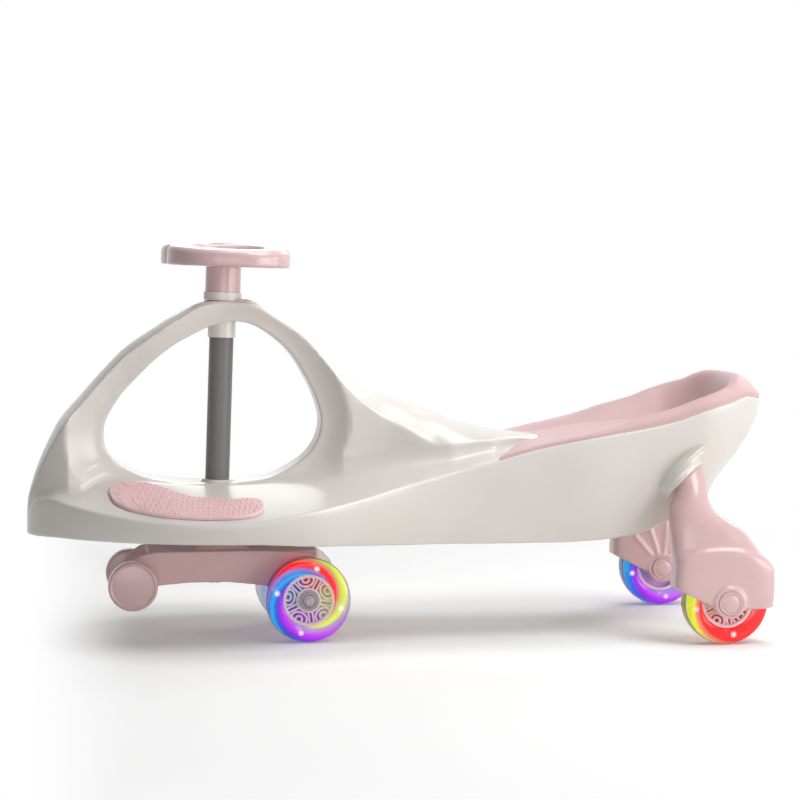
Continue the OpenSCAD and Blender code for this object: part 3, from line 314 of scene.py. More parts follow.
def moulded(obj, voxel, rounds, keep):
    """Fuses an object's shells and rounds its edges, as a moulding has them, then thins its mesh."""
    mod = obj.modifiers.new("fuse", "REMESH")
    mod.mode, mod.voxel_size = "VOXEL", voxel * MM
    mod = obj.modifiers.new("round", "SMOOTH")
    mod.factor, mod.iterations = SMOOTHING, rounds
    obj.modifiers.new("thin", "DECIMATE").ratio = keep
    return settle(obj)


def shade(obj, degrees):
    """Smooth shading, with edges sharper than an angle left sharp."""
    bm = bmesh.new()
    bm.from_mesh(obj.data)
    for f in bm.faces:
        f.smooth = True
    for e in bm.edges:
        e.smooth = len(e.link_faces) != 2 or e.calc_face_angle(0) < math.radians(degrees)
    bm.to_mesh(obj.data)
    bm.free()
    return obj


def mirror_copy(obj, name):
    """The same piece on the other side of the car."""
    twin = obj.copy()
    twin.data = obj.data.copy()
    twin.data.transform(Matrix.Scale(-1, 4, (0, 1, 0)))
    twin.data.flip_normals()
    twin.name = name
    bpy.context.scene.collection.objects.link(twin)
    return twin


def dress(obj, body, slot, material, *nodes):
    obj.data.materials.clear()
    obj.data.materials.append(material)
    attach(obj, body)
    if nodes:
        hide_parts(*nodes)
    return obj


class Wire:
    """A shader value. Python operators on it add Math nodes, and make() adds any other node."""

    def __init__(self, tree, socket):
        self.tree, self.socket = tree, socket

    def make(self, kind, settings=(), out=0, **sockets):
        node = self.tree.nodes.new("ShaderNode" + kind)
        for key, value in dict(settings).items():
            if key == "stops":
                ramp = node.color_ramp.elements
                while len(ramp) < len(value):
                    ramp.new(0.5)
                for element, (position, colour) in zip(ramp, value):
                    element.position = position
                    element.color = (*(colour if hasattr(colour, "__len__") else 3 * (colour,)), 1)
            else:
                setattr(node, key, value)
        for key, value in sockets.items():
            where = node.inputs[int(key[2:]) if key.startswith("at") else key.replace("_", " ")]
            if isinstance(value, Wire):
                self.tree.links.new(value.socket, where)
            else:
                where.default_value = (*value, 1) if where.type == "RGBA" and len(value) == 3 else value
        return Wire(self.tree, node.outputs[out] if len(node.outputs) else None)

    def other(self, out):
        """Another output of the node that this value comes from."""
        return Wire(self.tree, self.socket.node.outputs[out])

    def math(self, operation, a, b=0.0):
        return self.make("Math", {"operation": operation}, at0=a, at1=b)

    def alone(self, operation):
        """A Math node that takes one value."""
        return self.make("Math", {"operation": operation}, at0=self)

    def __add__(self, b):
        return self.math("ADD", self, b)

    def __radd__(self, b):
        return self.math("ADD", b, self)

    def __sub__(self, b):
        return self.math("SUBTRACT", self, b)

    def __rsub__(self, b):
        return self.math("SUBTRACT", b, self)

    def __mul__(self, b):
        return self.math("MULTIPLY", self, b)

    def __rmul__(self, b):
        return self.math("MULTIPLY", b, self)

    def __truediv__(self, b):
        return self.math("DIVIDE", self, b)

    def __pow__(self, b):
        return self.math("POWER", self, b)

    def step(self, none, full):
        """0 at the first value and past it, 1 at the second, smooth between."""
        return self.make("MapRange", {"interpolation_type": "SMOOTHSTEP"}, at0=self, at1=none, at2=full)

    def blend(self, a, b):
        """Colour a where this is 0 and colour b where it is 1."""
        return self.make("Mix", {"data_type": "RGBA"}, 2, at0=self, at6=a, at7=b)


def material(name):
    """A new material, and a wire to build its nodes from."""
    mat = bpy.data.materials.new(name)
    mat.use_nodes = True
    mat.node_tree.nodes.clear()
    return mat, Wire(mat.node_tree, None)


def surface(wire, shader):
    wire.make("OutputMaterial", Surface=shader)


def place(wire):
    """Position in the object's own metres."""
    return wire.make("TexCoord", out=3)


def speckle(wire, where, scale, detail=3.0):
    return wire.make("TexNoise", Vector=where, Scale=scale, Detail=detail)


# Finishes: scales of the noises, the range in which a noise turns from one tint to the other, depth of the
# grain in metres, and drift of the roughness.
DRIFT_SCALE, GRAIN_SCALE, RUB_SCALE = 9.0, 1400.0, 46.0
STREAK_SCALE, BLOT_SCALE = 260.0, 30.0
TINT_RANGE = (0.3, 0.7)
GRAIN_DEPTH, STREAK_DEPTH = 0.0004, 0.0003
GLOSS_DRIFT, STREAK_DRIFT = 0.16, 0.2
PLASTIC_IOR = 1.48


def plastic(name, colour, shaded, rough, coat=0.0, grain=0.04):
    """Moulded plastic: a slow drift of tint, fine moulding grain and rubbed, slightly uneven gloss."""
    mat, w = material(name)
    where = place(w)
    drift = speckle(w, where, DRIFT_SCALE)
    fine = speckle(w, where, GRAIN_SCALE, 2.0)
    rubbed = speckle(w, where, RUB_SCALE, 5.0)
    tint = drift.step(*TINT_RANGE).blend(shaded, colour)
    bump = w.make("Bump", Strength=grain, Distance=GRAIN_DEPTH, Height=fine + rubbed * 0.6)
    surface(w, w.make("BsdfPrincipled", Base_Color=tint, Roughness=rough + (rubbed - 0.5) * GLOSS_DRIFT,
                      Normal=bump, Coat_Weight=coat, Coat_Roughness=0.12, IOR=PLASTIC_IOR))
    return mat


def steel(name, colour, rough, streak):
    """Turned metal with fine streaks along its length."""
    mat, w = material(name)
    where = place(w)
    lines = speckle(w, w.make("Mapping", Vector=where, Scale=streak), STREAK_SCALE, 4.0)
    blot = speckle(w, where, BLOT_SCALE)
    worn = tuple(0.78 * c for c in colour)
    tint = (lines * 0.6 + blot * 0.4).step(*TINT_RANGE).blend(worn, colour)
    bump = w.make("Bump", Strength=0.06, Distance=STREAK_DEPTH, Height=lines)
    surface(w, w.make("BsdfPrincipled", Base_Color=tint, Metallic=1.0,
                      Roughness=rough + (lines - 0.5) * STREAK_DRIFT, Normal=bump))
    return mat


CREAM = (0.80, 0.765, 0.72)
CREAM_SHADED = (0.77, 0.73, 0.68)
PINK = (0.72, 0.49, 0.495)
PINK_SHADED = (0.69, 0.455, 0.46)
cream_plastic = plastic("cream_plastic", CREAM, CREAM_SHADED, rough=0.32, coat=0.35, grain=0.015)
pink_plastic = plastic("pink_plastic", PINK, PINK_SHADED, rough=0.3, coat=0.5)
pink_satin = plastic("pink_satin", PINK, PINK_SHADED, rough=0.5, grain=0.1)
pad_pink = plastic("pad_pink", (0.92, 0.62, 0.64), (0.88, 0.58, 0.6), rough=0.5, grain=0.1)
# A dark colour for the pads' nubs and lines: painted shade, standing for the shade in the pad's small dots
# and lines.
pad_painted_shade = plastic("pad_painted_shade", (0.24, 0.09, 0.1), (0.2, 0.07, 0.08), rough=0.5)
dark_plastic = plastic("dark_plastic", (0.02, 0.02, 0.022), (0.015, 0.015, 0.016), rough=0.5)
dark_paint = plastic("dark_paint", (0.19, 0.18, 0.18), (0.17, 0.16, 0.16), rough=0.42, grain=0.02)
bearing_steel = steel("bearing_steel", (0.36, 0.32, 0.34), rough=0.4, streak=(1, 1, 1))
bright_steel = steel("bright_steel", (0.72, 0.73, 0.75), rough=0.28, streak=(1, 12, 1))


# The shroud round the neck of each leg, in three tiers that fade into the body's side: distance along its
# slanted axis, half length, shift up the slant and reach outward.
SHROUD_X, SHROUD_Z = 284.0, 164.0
SHROUD_IN = 62.0
SHROUD_TILT = 0.36
SHROUD_WAY = np.array((-0.687, 0, 0.727))
SHROUD_SLANT = np.array((0.727, 0, 0.687))
SHROUD = [(-1.2, 25.2, 0, 126), (-0.6, 26.3, 0, 127.4), (0.2, 27, 0, 128), (3.4, 27.8, 0.4, 127),
          (4.0, 28.6, 1, 126.9), (4.5, 30.6, 3.2, 127.6), (5.3, 31.6, 4, 127.8), (8.8, 32.8, 5, 123.4),
          (9.4, 33.6, 5.8, 123.2), (9.9, 36, 8.2, 123.9), (10.8, 37.2, 9, 123.4), (13.5, 37, 9, 116),
          (17, 34, 8, 106), (22, 28, 6, 96)]


def shroud():
    turn = np.linspace(0, 2 * np.pi, 96, endpoint=False)
    rings = []
    for along, half, shift, out in SHROUD:
        middle = np.array((SHROUD_X, (out + SHROUD_IN) / 2, SHROUD_Z))
        centre = middle + SHROUD_WAY * along + SHROUD_SLANT * shift
        outward = (np.array((0, 1, 0)) + SHROUD_TILT * SHROUD_WAY) * (out - SHROUD_IN) / 2
        rings.append(centre + half * np.outer(np.cos(turn), SHROUD_SLANT) + np.outer(np.sin(turn), outward))
    return np.concatenate(rings), capped(len(rings), len(turn))


# The tail is drawn in from a place along the body: all of it by a little, and more where it is low, as pairs
# of height and distance.
TAIL_FROM, TAIL_TUCK = 240.0, 8.5
TAIL_RUN, TAIL_POWER = 120.0, 1.5
TAIL_DRAW = [(100, 34), (150, 32), (170, 26), (190, 16), (210, 8), (230, 2.5), (250, 0), (420, 0)]


def tucked(obj):
    x = np.empty(3 * len(obj.data.vertices))
    obj.data.vertices.foreach_get("co", x)
    x = x.reshape(-1, 3)
    behind = x[:, 0] / MM - TAIL_FROM
    share = np.clip(behind / (BODY_LENGTH / 2 - TAIL_FROM), 0, 1)
    low = curve(TAIL_DRAW, x[:, 2] / MM) * np.clip(behind / TAIL_RUN, 0, 1) ** TAIL_POWER
    x[:, 0] -= MM * (TAIL_TUCK * share ** 2 + low)
    obj.data.vertices.foreach_set("co", x.ravel())
    return obj


# Body: shares along it where its rows start and stop crowding, the pan's recess and the column's bores.
NOSE_ROWS, TAIL_ROWS = 0.12, 0.87
PAN_ENDS = (0.0358, 0.803)
PAN_MARGIN = 1.35 * WALL
PAN_ROOF = CLEARANCE + 1.7 * WALL + 2 * FIT
COLLAR_U, COLLAR_SINK = 0.2527, 0.6 * WALL
COLLAR_R, HEAD_BORE_R, DECK_BORE_D = 20.3, 14.6, 32.2
HEAD_LOW, HEAD_HIGH = 250, 420


def shares(n):
    """Even steps up to 1, without the 0."""
    return np.linspace(0, 1, n)[None, 1:]


def body_loft():
    """Rings from the nose to the tail: bottom, skirt, rim, deck, fillet at the arch's foot, web and crown."""
    quarter = np.linspace(0, np.pi / 2, 31)
    u = np.concatenate([NOSE_ROWS * (1 - np.cos(quarter[:-1])), np.linspace(NOSE_ROWS, TAIL_ROWS, 131)[:-1],
                        TAIL_ROWS + (1 - TAIL_ROWS) * np.sin(quarter)])[:, None]
    rim, keel, low, high, edge = rim_y(u), keel_y(u), keel_z(u), rim_z(u), rim_round(u)
    fillet, web, foot, crease, top = foot_r(u), foot_guess(u), foot_z(u), crease_z(u), crown_z(u)
    turn = np.linspace(0, np.pi / 2, 7)[None, :]
    bottom, skirt, cove, over = shares(8), shares(13)[:, :-1], turn[:, 1:], shares(15)
    deck = rim - edge + (web + fillet - rim + edge) * shares(19)
    up = foot + fillet + (crease - foot - fillet) * shares(27)
    half_y = np.concatenate([0 * u, keel * bottom, keel + (rim - keel) * (1 - (1 - skirt) ** SKIRT_BOW),
                             rim - edge + edge * np.cos(turn), deck, web + fillet - fillet * np.sin(cove),
                             web_at(u, up), web_at(u, crease) * (1 - over)], 1)
    half_z = np.concatenate([low, low + 0 * bottom, low + (high - edge - low) * skirt,
                             high - edge + edge * np.sin(turn), deck_z(u, deck),
                             foot + fillet * (1 - np.cos(cove)), up,
                             crease + (top - crease) * (1 - (1 - over) ** CROWN_BOW)], 1)
    ring_y = np.concatenate([half_y, -half_y[:, -2:0:-1]], 1)
    ring_z = np.concatenate([half_z, half_z[:, -2:0:-1]], 1)
    ring_x = np.broadcast_to((u - 0.5) * BODY_LENGTH, ring_y.shape)
    return np.stack([ring_x, ring_y, ring_z], -1).reshape(-1, 3), capped(*ring_y.shape)


def arch_hole():
    turn = np.linspace(0, 360, 180, endpoint=False)
    reach = ring_value(HOLE, turn)
    rim = np.stack([HOLE_X + HOLE_WIDE * reach * np.cos(np.radians(turn)), 0 * turn,
                    HOLE_Z + HOLE_TALL * reach * np.sin(np.radians(turn))], -1)
    return np.concatenate([rim + (0, -PAST, 0), rim + (0, PAST, 0)]), capped(2, len(turn))


def pan_recess():
    u = np.linspace(*PAN_ENDS, 60)
    edge = keel_y(u) - PAN_MARGIN + FIT
    x = (u - 0.5) * BODY_LENGTH
    outline = np.concatenate([np.stack([x, edge], -1), np.stack([x, -edge], -1)[::-1]])
    n = len(outline)
    return np.concatenate([np.c_[outline, np.full(n, z)] for z in (THROUGH[0], PAN_ROOF)]), capped(2, n)


def column_bores():
    ledge = float(crown_z(np.array(COLLAR_U)) - COLLAR_SINK)
    head = lathe([(0, HEAD_LOW), (HEAD_BORE_R, HEAD_LOW), (HEAD_BORE_R, ledge), (COLLAR_R, ledge),
                  (COLLAR_R, HEAD_HIGH), (0, HEAD_HIGH)], 96, closed=False)
    return together([moved(head, COLUMN), moved(rod(DECK_BORE_D, *THROUGH), COLUMN)])


def body_skin():
    """The moulded body: lofted shell with its hole, recess and bores, and the shrouds of the legs."""
    body = tidy_mesh(made("body_skin", *body_loft()))
    for cut in (arch_hole(), pan_recess(), column_bores()):
        combine(body, cut, "DIFFERENCE")
    body = tucked(moulded(body, voxel=1.7, rounds=7, keep=0.25))
    collars = tidy_mesh(made("shrouds", *together([shroud(), mirrored(shroud())])))
    bm = bmesh.new()
    for shell in (body, collars):
        bm.from_mesh(shell.data)
    bm.to_mesh(body.data)
    bm.free()
    bpy.data.objects.remove(collars)
    return shade(body, 50)


dress(body_skin(), "body", "cream_plastic", cream_plastic, "body_shell")

# Seat: thickness, rise at the back and rounded edge, the hem that meets the body, and its lines as shares.
SEAT_T, SEAT_BACK, SEAT_EDGE, SEAT_THIN = 3.5, 22.0, 2.0, 0.5
SEAT_HEM, TAIL_HEM, HEM_WIDE = 5.0, 9.0, 3.0
HEM_FROM, HEM_RUN = 0.9, 0.06
SEAT_FRONT, SEAT_TIP, SEAT_TAIL = 0.69, 0.608, 0.993
SEAT_POINT, SEAT_BUNCH, SEAT_INSET = 1.1, 0.65, 0.6
LIP_SIDE, LIP_TAIL, BOWL = 0.12, 0.24, 0.3
SEAT_PAN = [(0.6, 1.54), (0.69, 1.545), (0.753, 1.6), (0.816, 1.635), (0.88, 1.645), (0.915, 1.66), (1, 1.7)]
SEAT_CREST = [(0.6, 0.05), (0.69, 0.06), (0.747, 0.12), (0.806, 0.38), (0.87, 0.475), (0.92, 0.52),
              (0.95, 0.8), (1, 0.97)]


def seat_top(u, y):
    """Height of the seat: up over its lip, then down into the bowl."""
    side = y / (HALF_WIDTH * curve(WAIST, u))
    back = np.clip((u - TAIL_START) / TAIL_SPAN, 0, None)
    reach = np.hypot(side, back)
    lip = LIP_SIDE + LIP_TAIL * (back / np.maximum(0.01, reach)) ** 2
    k = np.sin(np.pi / 2 * np.clip((1 - reach) / lip, 0, 1))
    m = 1 - np.cos(np.pi / 2 * np.clip((1 - reach - lip) / BOWL, 0, 1))
    edge = rim_z(u) + FIT + 0.7 * SEAT_T
    return (edge + SEAT_BACK * curve(SEAT_CREST, u) * k) * (1 - m) + DECK * curve(SEAT_PAN, u) * m


def plate(upper, lower):
    """A closed plate from two grids of points."""
    rows, cols = upper.shape[:2]
    n = rows * cols
    edge = [j for j in range(cols)] + [i * cols + cols - 1 for i in range(1, rows)]
    edge += [(rows - 1) * cols + j for j in range(cols - 2, -1, -1)]
    edge += [i * cols for i in range(rows - 2, 0, -1)]
    band = [(a, n + a, n + b, b) for a, b in zip(edge, edge[1:] + edge[:1])]
    return (np.concatenate([upper.reshape(-1, 3), lower.reshape(-1, 3)]),
            grid_faces(rows, cols) + grid_faces(rows, cols, first=n, flip=True) + band)


def eased(n):
    """Steps from 0 to 1, closer together at both ends."""
    return 0.5 - 0.5 * np.cos(np.linspace(0, np.pi, n))


def edge_drop(to_edge, radius):
    """How far a rounded edge falls, at a distance from it."""
    return radius * (1 - np.sqrt(1 - np.clip(1 - to_edge / radius, 0, 1) ** 2))


def seat_moulding():
    t = eased(150)[:, None]
    f = np.sin(np.linspace(-np.pi / 2, np.pi / 2, 121))[None, :]
    start = SEAT_FRONT + (SEAT_TIP - SEAT_FRONT) * np.abs(f) ** SEAT_POINT
    u = start + (SEAT_TAIL - start) * ((1 - SEAT_BUNCH) * t + SEAT_BUNCH * np.sin(np.pi / 2 * t))
    side = rim_y(u) - SEAT_INSET * rim_round(u)
    y = np.abs(f) * side
    to_ends = np.minimum((u - start) * BODY_LENGTH, (SEAT_TAIL - u) * BODY_LENGTH)
    to_edge = np.minimum((1 - np.abs(f)) * side, to_ends)
    x = (u - 0.5) * BODY_LENGTH
    z = seat_top(u, y) - edge_drop(to_edge, SEAT_EDGE)
    hem = SEAT_HEM + TAIL_HEM * np.clip((u - HEM_FROM) / HEM_RUN, 0, 1)
    hem = hem * (1 - np.clip(to_edge / HEM_WIDE, 0, 1))
    below = np.minimum(z - SEAT_THIN, seat_top(u, y) - SEAT_T) - hem
    upper, lower = (np.stack([x, np.sign(f) * y, height], -1) for height in (z, below))
    return shade(tidy_mesh(made("seat_moulding", *plate(upper, lower))), 60)


dress(tucked(seat_moulding()), "body", "pink_plastic", pink_satin, "seat")

# Foot pads: middle line and half width from toe to heel, as shares of the body's and the pad's half widths.
PAD_LENGTH, PAD_WIDTH, PAD_T = 155.0, 72.0, 3.5
PAD_U = 0.2032
PAD_GAP, PAD_BASE, PAD_EDGE = 1.3 * FIT, 0.2, 2.2
PAD_LINE = [(0, 0.405), (0.03, 0.45), (0.084, 0.475), (0.135, 0.495), (0.19, 0.513), (0.27, 0.54),
            (0.345, 0.58), (0.44, 0.635), (0.56, 0.6875), (0.7, 0.72), (0.82, 0.741), (1, 0.727)]
PAD_SHAPE = [(0, 0.05), (0.03, 0.46), (0.084, 0.68), (0.135, 0.8), (0.19, 0.86), (0.27, 0.94),
             (0.345, 0.92), (0.44, 0.82), (0.56, 0.735), (0.7, 0.71), (0.82, 0.7), (0.893, 0.685),
             (0.95, 0.57), (0.985, 0.37), (1, 0.05)]
# Raised lines that mark the toes and, last, the ball of the foot, as (toe to heel, across) places.
TOE_LINES = [[(0.097, -0.9), (0.111, -0.745), (0.136, -0.56), (0.169, -0.53)],
             [(0.058, -0.514), (0.076, -0.29), (0.099, -0.242)],
             [(0.046, 0.061), (0.061, 0.19), (0.08, 0.207)],
             [(0.05, 0.545), (0.069, 0.61), (0.091, 0.578)],
             [(0.075, 0.773), (0.09, 0.806), (0.109, 0.771)],
             [(0.169, -0.164), (0.158, 0.134), (0.162, 0.403), (0.18, 0.64), (0.21, 0.805), (0.26, 0.861)]]
TOE_HALF, BALL_HALF = 0.85, 1.2
LINE_SINK, LINE_TOP = 0.5, 0.6
# Nubs: profile, rows from toe to heel, pitch across (wider at the middle of the foot), margin at the pad's
# edge, lean of a row, stagger of every other nub, and where the first and the last may be.
NUB = [(1.3, -0.4), (1.3, 0.3), (1.0, 0.75), (0.55, 0.95), (0.0, 1.0)]
NUB_ROWS = np.arange(0.175, 0.955, 0.0345)
NUB_PITCH, ARCH_PITCH, ARCH_FROM, ARCH_TO = 6.0, 8.4, 0.42, 0.68
NUB_MARGIN, NUB_SINK = 4.6, 0.05
NUB_LEAN, NUB_STAGGER = 0.03, 0.012
NUB_FIRST, NUB_LAST = 0.19, 0.965


def pad_at(t, s, lift):
    """A point of the right foot pad: t from toe to heel, s across from -1 to 1."""
    u = PAD_U + (t - 0.5) * PAD_LENGTH / BODY_LENGTH
    y = HALF_WIDTH * curve(PAD_LINE, t) + s * curve(PAD_SHAPE, t) * PAD_WIDTH / 2
    return np.stack([(u - 0.5) * BODY_LENGTH, y, deck_z(u, y) + PAD_GAP + lift], -1)


def pad_line(places, half):
    """A thin raised line along places on the pad, fine at both ends."""
    p = np.array(places)
    n = np.arange(len(p))
    at = np.linspace(0, len(p) - 1, 6 * len(p))
    t, s = curve(np.c_[n, p[:, 0]], at), curve(np.c_[n, p[:, 1]], at)
    mid = pad_at(t, s, PAD_T - LINE_SINK)
    up = np.array((0, 0, 1.0))
    side = np.cross(np.gradient(mid, axis=0), up)
    side *= half / np.linalg.norm(side, axis=1, keepdims=True)
    side = side * np.sin(np.pi * np.linspace(0.06, 0.94, len(at)))[:, None] ** 0.5
    ring = [mid - side, mid - LINE_TOP * side + up, mid + LINE_TOP * side + up, mid + side]
    return np.stack(ring, 1).reshape(-1, 3), capped(len(at), len(ring))


def pad_nubs():
    nubs = []
    for row in NUB_ROWS:
        pitch = ARCH_PITCH if ARCH_FROM < row < ARCH_TO else NUB_PITCH
        half = float(curve(PAD_SHAPE, row)) * PAD_WIDTH / 2 - NUB_MARGIN
        count = max(1, int(2 * half / pitch))
        for k in range(count + 1):
            out = -half + 2 * half * k / count
            t = row + NUB_LEAN * out / half + (NUB_STAGGER if k % 2 else 0)
            if NUB_FIRST < t < NUB_LAST:
                spot = pad_at(np.array(t), np.array(out / (half + NUB_MARGIN)), PAD_T - NUB_SINK)
                nubs.append(moved(lathe(NUB, 10, closed=False), Matrix.Translation(spot)))
    return nubs


def foot_pad():
    """The right foot pad, with its lines and nubs in a second, dark material of painted shade."""
    t, s = np.meshgrid(eased(110), 2 * eased(49) - 1, indexing="ij")
    half = curve(PAD_SHAPE, t) * PAD_WIDTH / 2
    to_edge = np.minimum((1 - np.abs(s)) * half, np.minimum(t, 1 - t) * PAD_LENGTH)
    sole = plate(pad_at(t, s, PAD_T - edge_drop(to_edge, PAD_EDGE)), pad_at(t, s, PAD_BASE))
    lines = [pad_line(toe, TOE_HALF) for toe in TOE_LINES[:-1]] + [pad_line(TOE_LINES[-1], BALL_HALF)]
    pad = made("foot_pad", *together([sole] + lines + pad_nubs()))
    first = len(sole[1])
    marks = [int(k >= first) for k in range(len(pad.data.polygons))]
    pad.data.polygons.foreach_set("material_index", marks)
    return shade(tidy_mesh(pad), 40)


right_pad = foot_pad()
right_pad.name = "right_foot_pad_tread"
left_pad = mirror_copy(right_pad, "left_foot_pad_tread")
for pad, node in ((right_pad, "right_foot_pad"), (left_pad, "left_foot_pad")):
    dress(pad, "body", "pink_plastic", pad_pink, node).data.materials.append(pad_painted_shade)

# Steering wheel: two loops with a dome between them, and a cap on the dome.
GRIP_SPAN, GRIP_DEPTH, GRIP_T, GRIP_BAR, DOME_D = 246.0, 126.0, 16.0, 27.0, 66.0
GRIP_CROWN = 7.0
GRIP_LOW_R, GRIP_HIGH_R = 1.6, 6.0
LOOP_SQUARE, LOOP_DEEP, LOOP_TAPER = 0.75, 0.85, 0.2
WHEEL_FROM = 388.0
DOME_TALL = GRIP_T + 0.7 * WALL
DOME_EDGE = 1.5
CAP = [(0, 0.06), (17, 0.06), (17, 3.0), (16.8, 3.9), (16.2, 4.7), (15, 5.3), (12.5, 5.8), (8, 6.1), (0, 6.2)]


def signed_power(v, power):
    return np.sign(v) * np.abs(v) ** power


def grip_loop():
    """The right loop, as sections from its outer edge to its hand hole."""
    turn = np.linspace(0, 2 * np.pi, 160, endpoint=False)
    loop_y = GRIP_SPAN / 4 * (1 + signed_power(np.cos(turn), LOOP_SQUARE))
    narrow = np.sin(np.pi / 2 * np.clip(loop_y * 3 / GRIP_SPAN, 0, 1))
    loop_x = GRIP_DEPTH / 2 * signed_power(np.sin(turn), LOOP_DEEP) * (1 - LOOP_TAPER + LOOP_TAPER * narrow)
    inner_y = 0.47 * DOME_D
    half_y = (GRIP_SPAN / 2 - GRIP_BAR - inner_y) / 2
    hole_x = (GRIP_DEPTH / 2 - GRIP_BAR) * signed_power(np.sin(turn), LOOP_SQUARE)
    hole_y = inner_y + half_y + half_y * signed_power(np.cos(turn), LOOP_SQUARE)
    profile = []
    for b in np.linspace(-np.pi / 2, 0, 5):
        profile.append((GRIP_LOW_R * (1 - math.cos(b)), GRIP_LOW_R + GRIP_LOW_R * math.sin(b)))
    for b in np.linspace(0, np.pi / 2, 9):
        profile.append((GRIP_HIGH_R * (1 - math.cos(b)), GRIP_T - GRIP_HIGH_R + GRIP_HIGH_R * math.sin(b)))
    outer, inner = np.stack([loop_x, loop_y], -1), np.stack([hole_x, hole_y], -1)
    span = np.linalg.norm(inner - outer, axis=1, keepdims=True)
    way = (inner - outer) / span
    rings = [np.c_[outer + way * d, np.full(len(turn), z)] for d, z in profile]
    rings += [np.c_[inner - way * d, np.full(len(turn), z)] for d, z in profile[::-1]]
    points = np.stack(rings, 1)
    points[..., 2] *= 1 + GRIP_CROWN / GRIP_T * (1 - (points[..., 1] * 2 / GRIP_SPAN) ** 2)
    return points.reshape(-1, 3) + (0, 0, WHEEL_FROM), grid_faces(len(turn), len(rings), True, True)


def steering_wheel():
    loop = grip_loop()
    dome = lathe([(0, 0), (DOME_D / 2 - DOME_EDGE, 0), (DOME_D / 2, DOME_EDGE), (DOME_D / 2, 0.62 * GRIP_T),
                  (0.47 * DOME_D, 0.85 * GRIP_T), (0.4 * DOME_D, GRIP_T), (0.33 * DOME_D, DOME_TALL - 0.6),
                  (0.27 * DOME_D, DOME_TALL), (0, DOME_TALL)], 120, closed=False)
    dome = moved(dome, Matrix.Translation((0, 0, WHEEL_FROM)))
    wheel = tidy_mesh(made("grip_wheel", *moved(together([loop, mirrored(loop), dome]), COLUMN)))
    return shade(moulded(wheel, voxel=1.5, rounds=5, keep=0.4), 60)


dress(steering_wheel(), "steering", "pink_plastic", pink_plastic, "steering_wheel")
cap = moved(lathe(CAP, 120, closed=False), COLUMN @ Matrix.Translation((0, 0, WHEEL_FROM + DOME_TALL)))
dress(shade(tidy_mesh(made("wheel_cap", *cap)), 45), "steering", "pink_plastic", pink_plastic, "hub_cap")


def copy_of(node, name):
    """A piece that starts from a solid's own mesh."""
    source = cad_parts[node]
    obj = bpy.data.objects.new(name, source.data.copy())
    obj.matrix_world = source.matrix_world
    bpy.context.scene.collection.objects.link(obj)
    return obj


truck = moulded(copy_of("truck_frame", "truck_moulding"), voxel=1.3, rounds=5, keep=0.35)
dress(shade(truck, 60), "steering", "pink_plastic", pink_satin, "truck_frame")

# Rear legs: a fender round the wheel that narrows up to a neck at the body. Each row of LEG has a height as a
# share of the leg's rise, the front, back, inner and outer edges as shares of the fender, and squareness.
WELL_HALF = TYRE_HALF + 2.5
WELL_R = TYRE_R + 5.0
WELL_CUT_R = TYRE_R + 2.2
FENDER_WALL = 5.0
FENDER_OUT = REAR_Y + WELL_HALF + FENDER_WALL
FENDER_IN = REAR_Y - WELL_HALF - FENDER_WALL
FENDER_HALF = (FENDER_OUT - FENDER_IN) / 2
FENDER_REACH = WELL_R + 1.2 * FENDER_WALL
FENDER_CUT = [(-1.4, 0.5), (-0.93, 0.27), (-0.3, -0.1), (-0.3, -1), (-1.4, -1)]
LEG_ROOT_Z = 146.0
LEG_RISE = LEG_ROOT_Z - AXLE_Z
LEG = [(-0.07, -1, 0.9, -1, 1, 5), (0.16, -1, 0.92, -1, 1, 5), (0.35, -0.99, 0.92, -1, 1, 4.6),
       (0.47, -0.98, 0.83, -1, 1, 4.4), (0.5, -0.985, 0.79, -1, 1, 4.3),
       (0.535, -0.99, 0.74, -1.005, 0.93, 4.1), (0.57, -1, 0.67, -1.01, 0.8, 3.8),
       (0.64, -1.02, 0.54, -1.04, 0.74, 3.4), (0.735, -1.03, 0.33, -1.09, 0.68, 3),
       (0.84, -1.02, 0.02, -1.23, 0.54, 2.6), (0.95, -0.98, -0.22, -1.42, 0.36, 2.3),
       (1.04, -0.9, -0.27, -1.57, 0.19, 2.1), (1.14, -0.86, -0.26, -1.78, -0.08, 2),
       (1.24, -0.86, -0.26, -2.06, -0.42, 2), (1.36, -0.85, -0.27, -2.3, -0.95, 2)]
LEDGE_SAG, LEDGE_UP, LEDGE_SPREAD = 9.0, 0.53, 0.17
BOSS_D, BOSS_OUT, BOSS_IN = 32.6, 3.0, 2.0
COVER_BORE, AXLE_BORE = 24.6, 8.1
RIB_TURNS, RIB_D, RIB_ENDS, RIB_PROUD = (62, 85, 108, 131), 2.6, (18, 50), 0.6
COVER = [(0, 0.06), (12, 0.06), (12, 3.2), (11.6, 3.8), (10.9, 4.0), (10.2, 3.8), (9.9, 3.3), (9.6, 3.0),
         (9.2, 3.2), (8.6, 3.6), (4, 3.75), (0, 3.8)]


def leg_form():
    """Rings of the right leg from its lower edge to its neck, with a ledge that sags at front and back."""
    table = np.array(LEG)
    up = np.linspace(table[0, 0], table[-1, 0], 110)
    front, back, inner, outer, square = (curve(table[:, (0, k)], up)[:, None] for k in range(1, 6))
    up = up[:, None]
    turn = np.linspace(0, 2 * np.pi, 96, endpoint=False)[None, :]
    along, out = signed_power(np.cos(turn), 2 / square), signed_power(np.sin(turn), 2 / square)
    x = REAR_X + FENDER_REACH * ((front + back) / 2 + along * (back - front) / 2)
    y = REAR_Y + FENDER_HALF * ((inner + outer) / 2 + out * (outer - inner) / 2)
    sag = LEDGE_SAG * np.exp(-((up - LEDGE_UP) / LEDGE_SPREAD) ** 2)
    z = AXLE_Z + up * LEG_RISE - sag * along ** 2
    return np.stack([x, y, z], -1).reshape(-1, 3), capped(*x.shape)


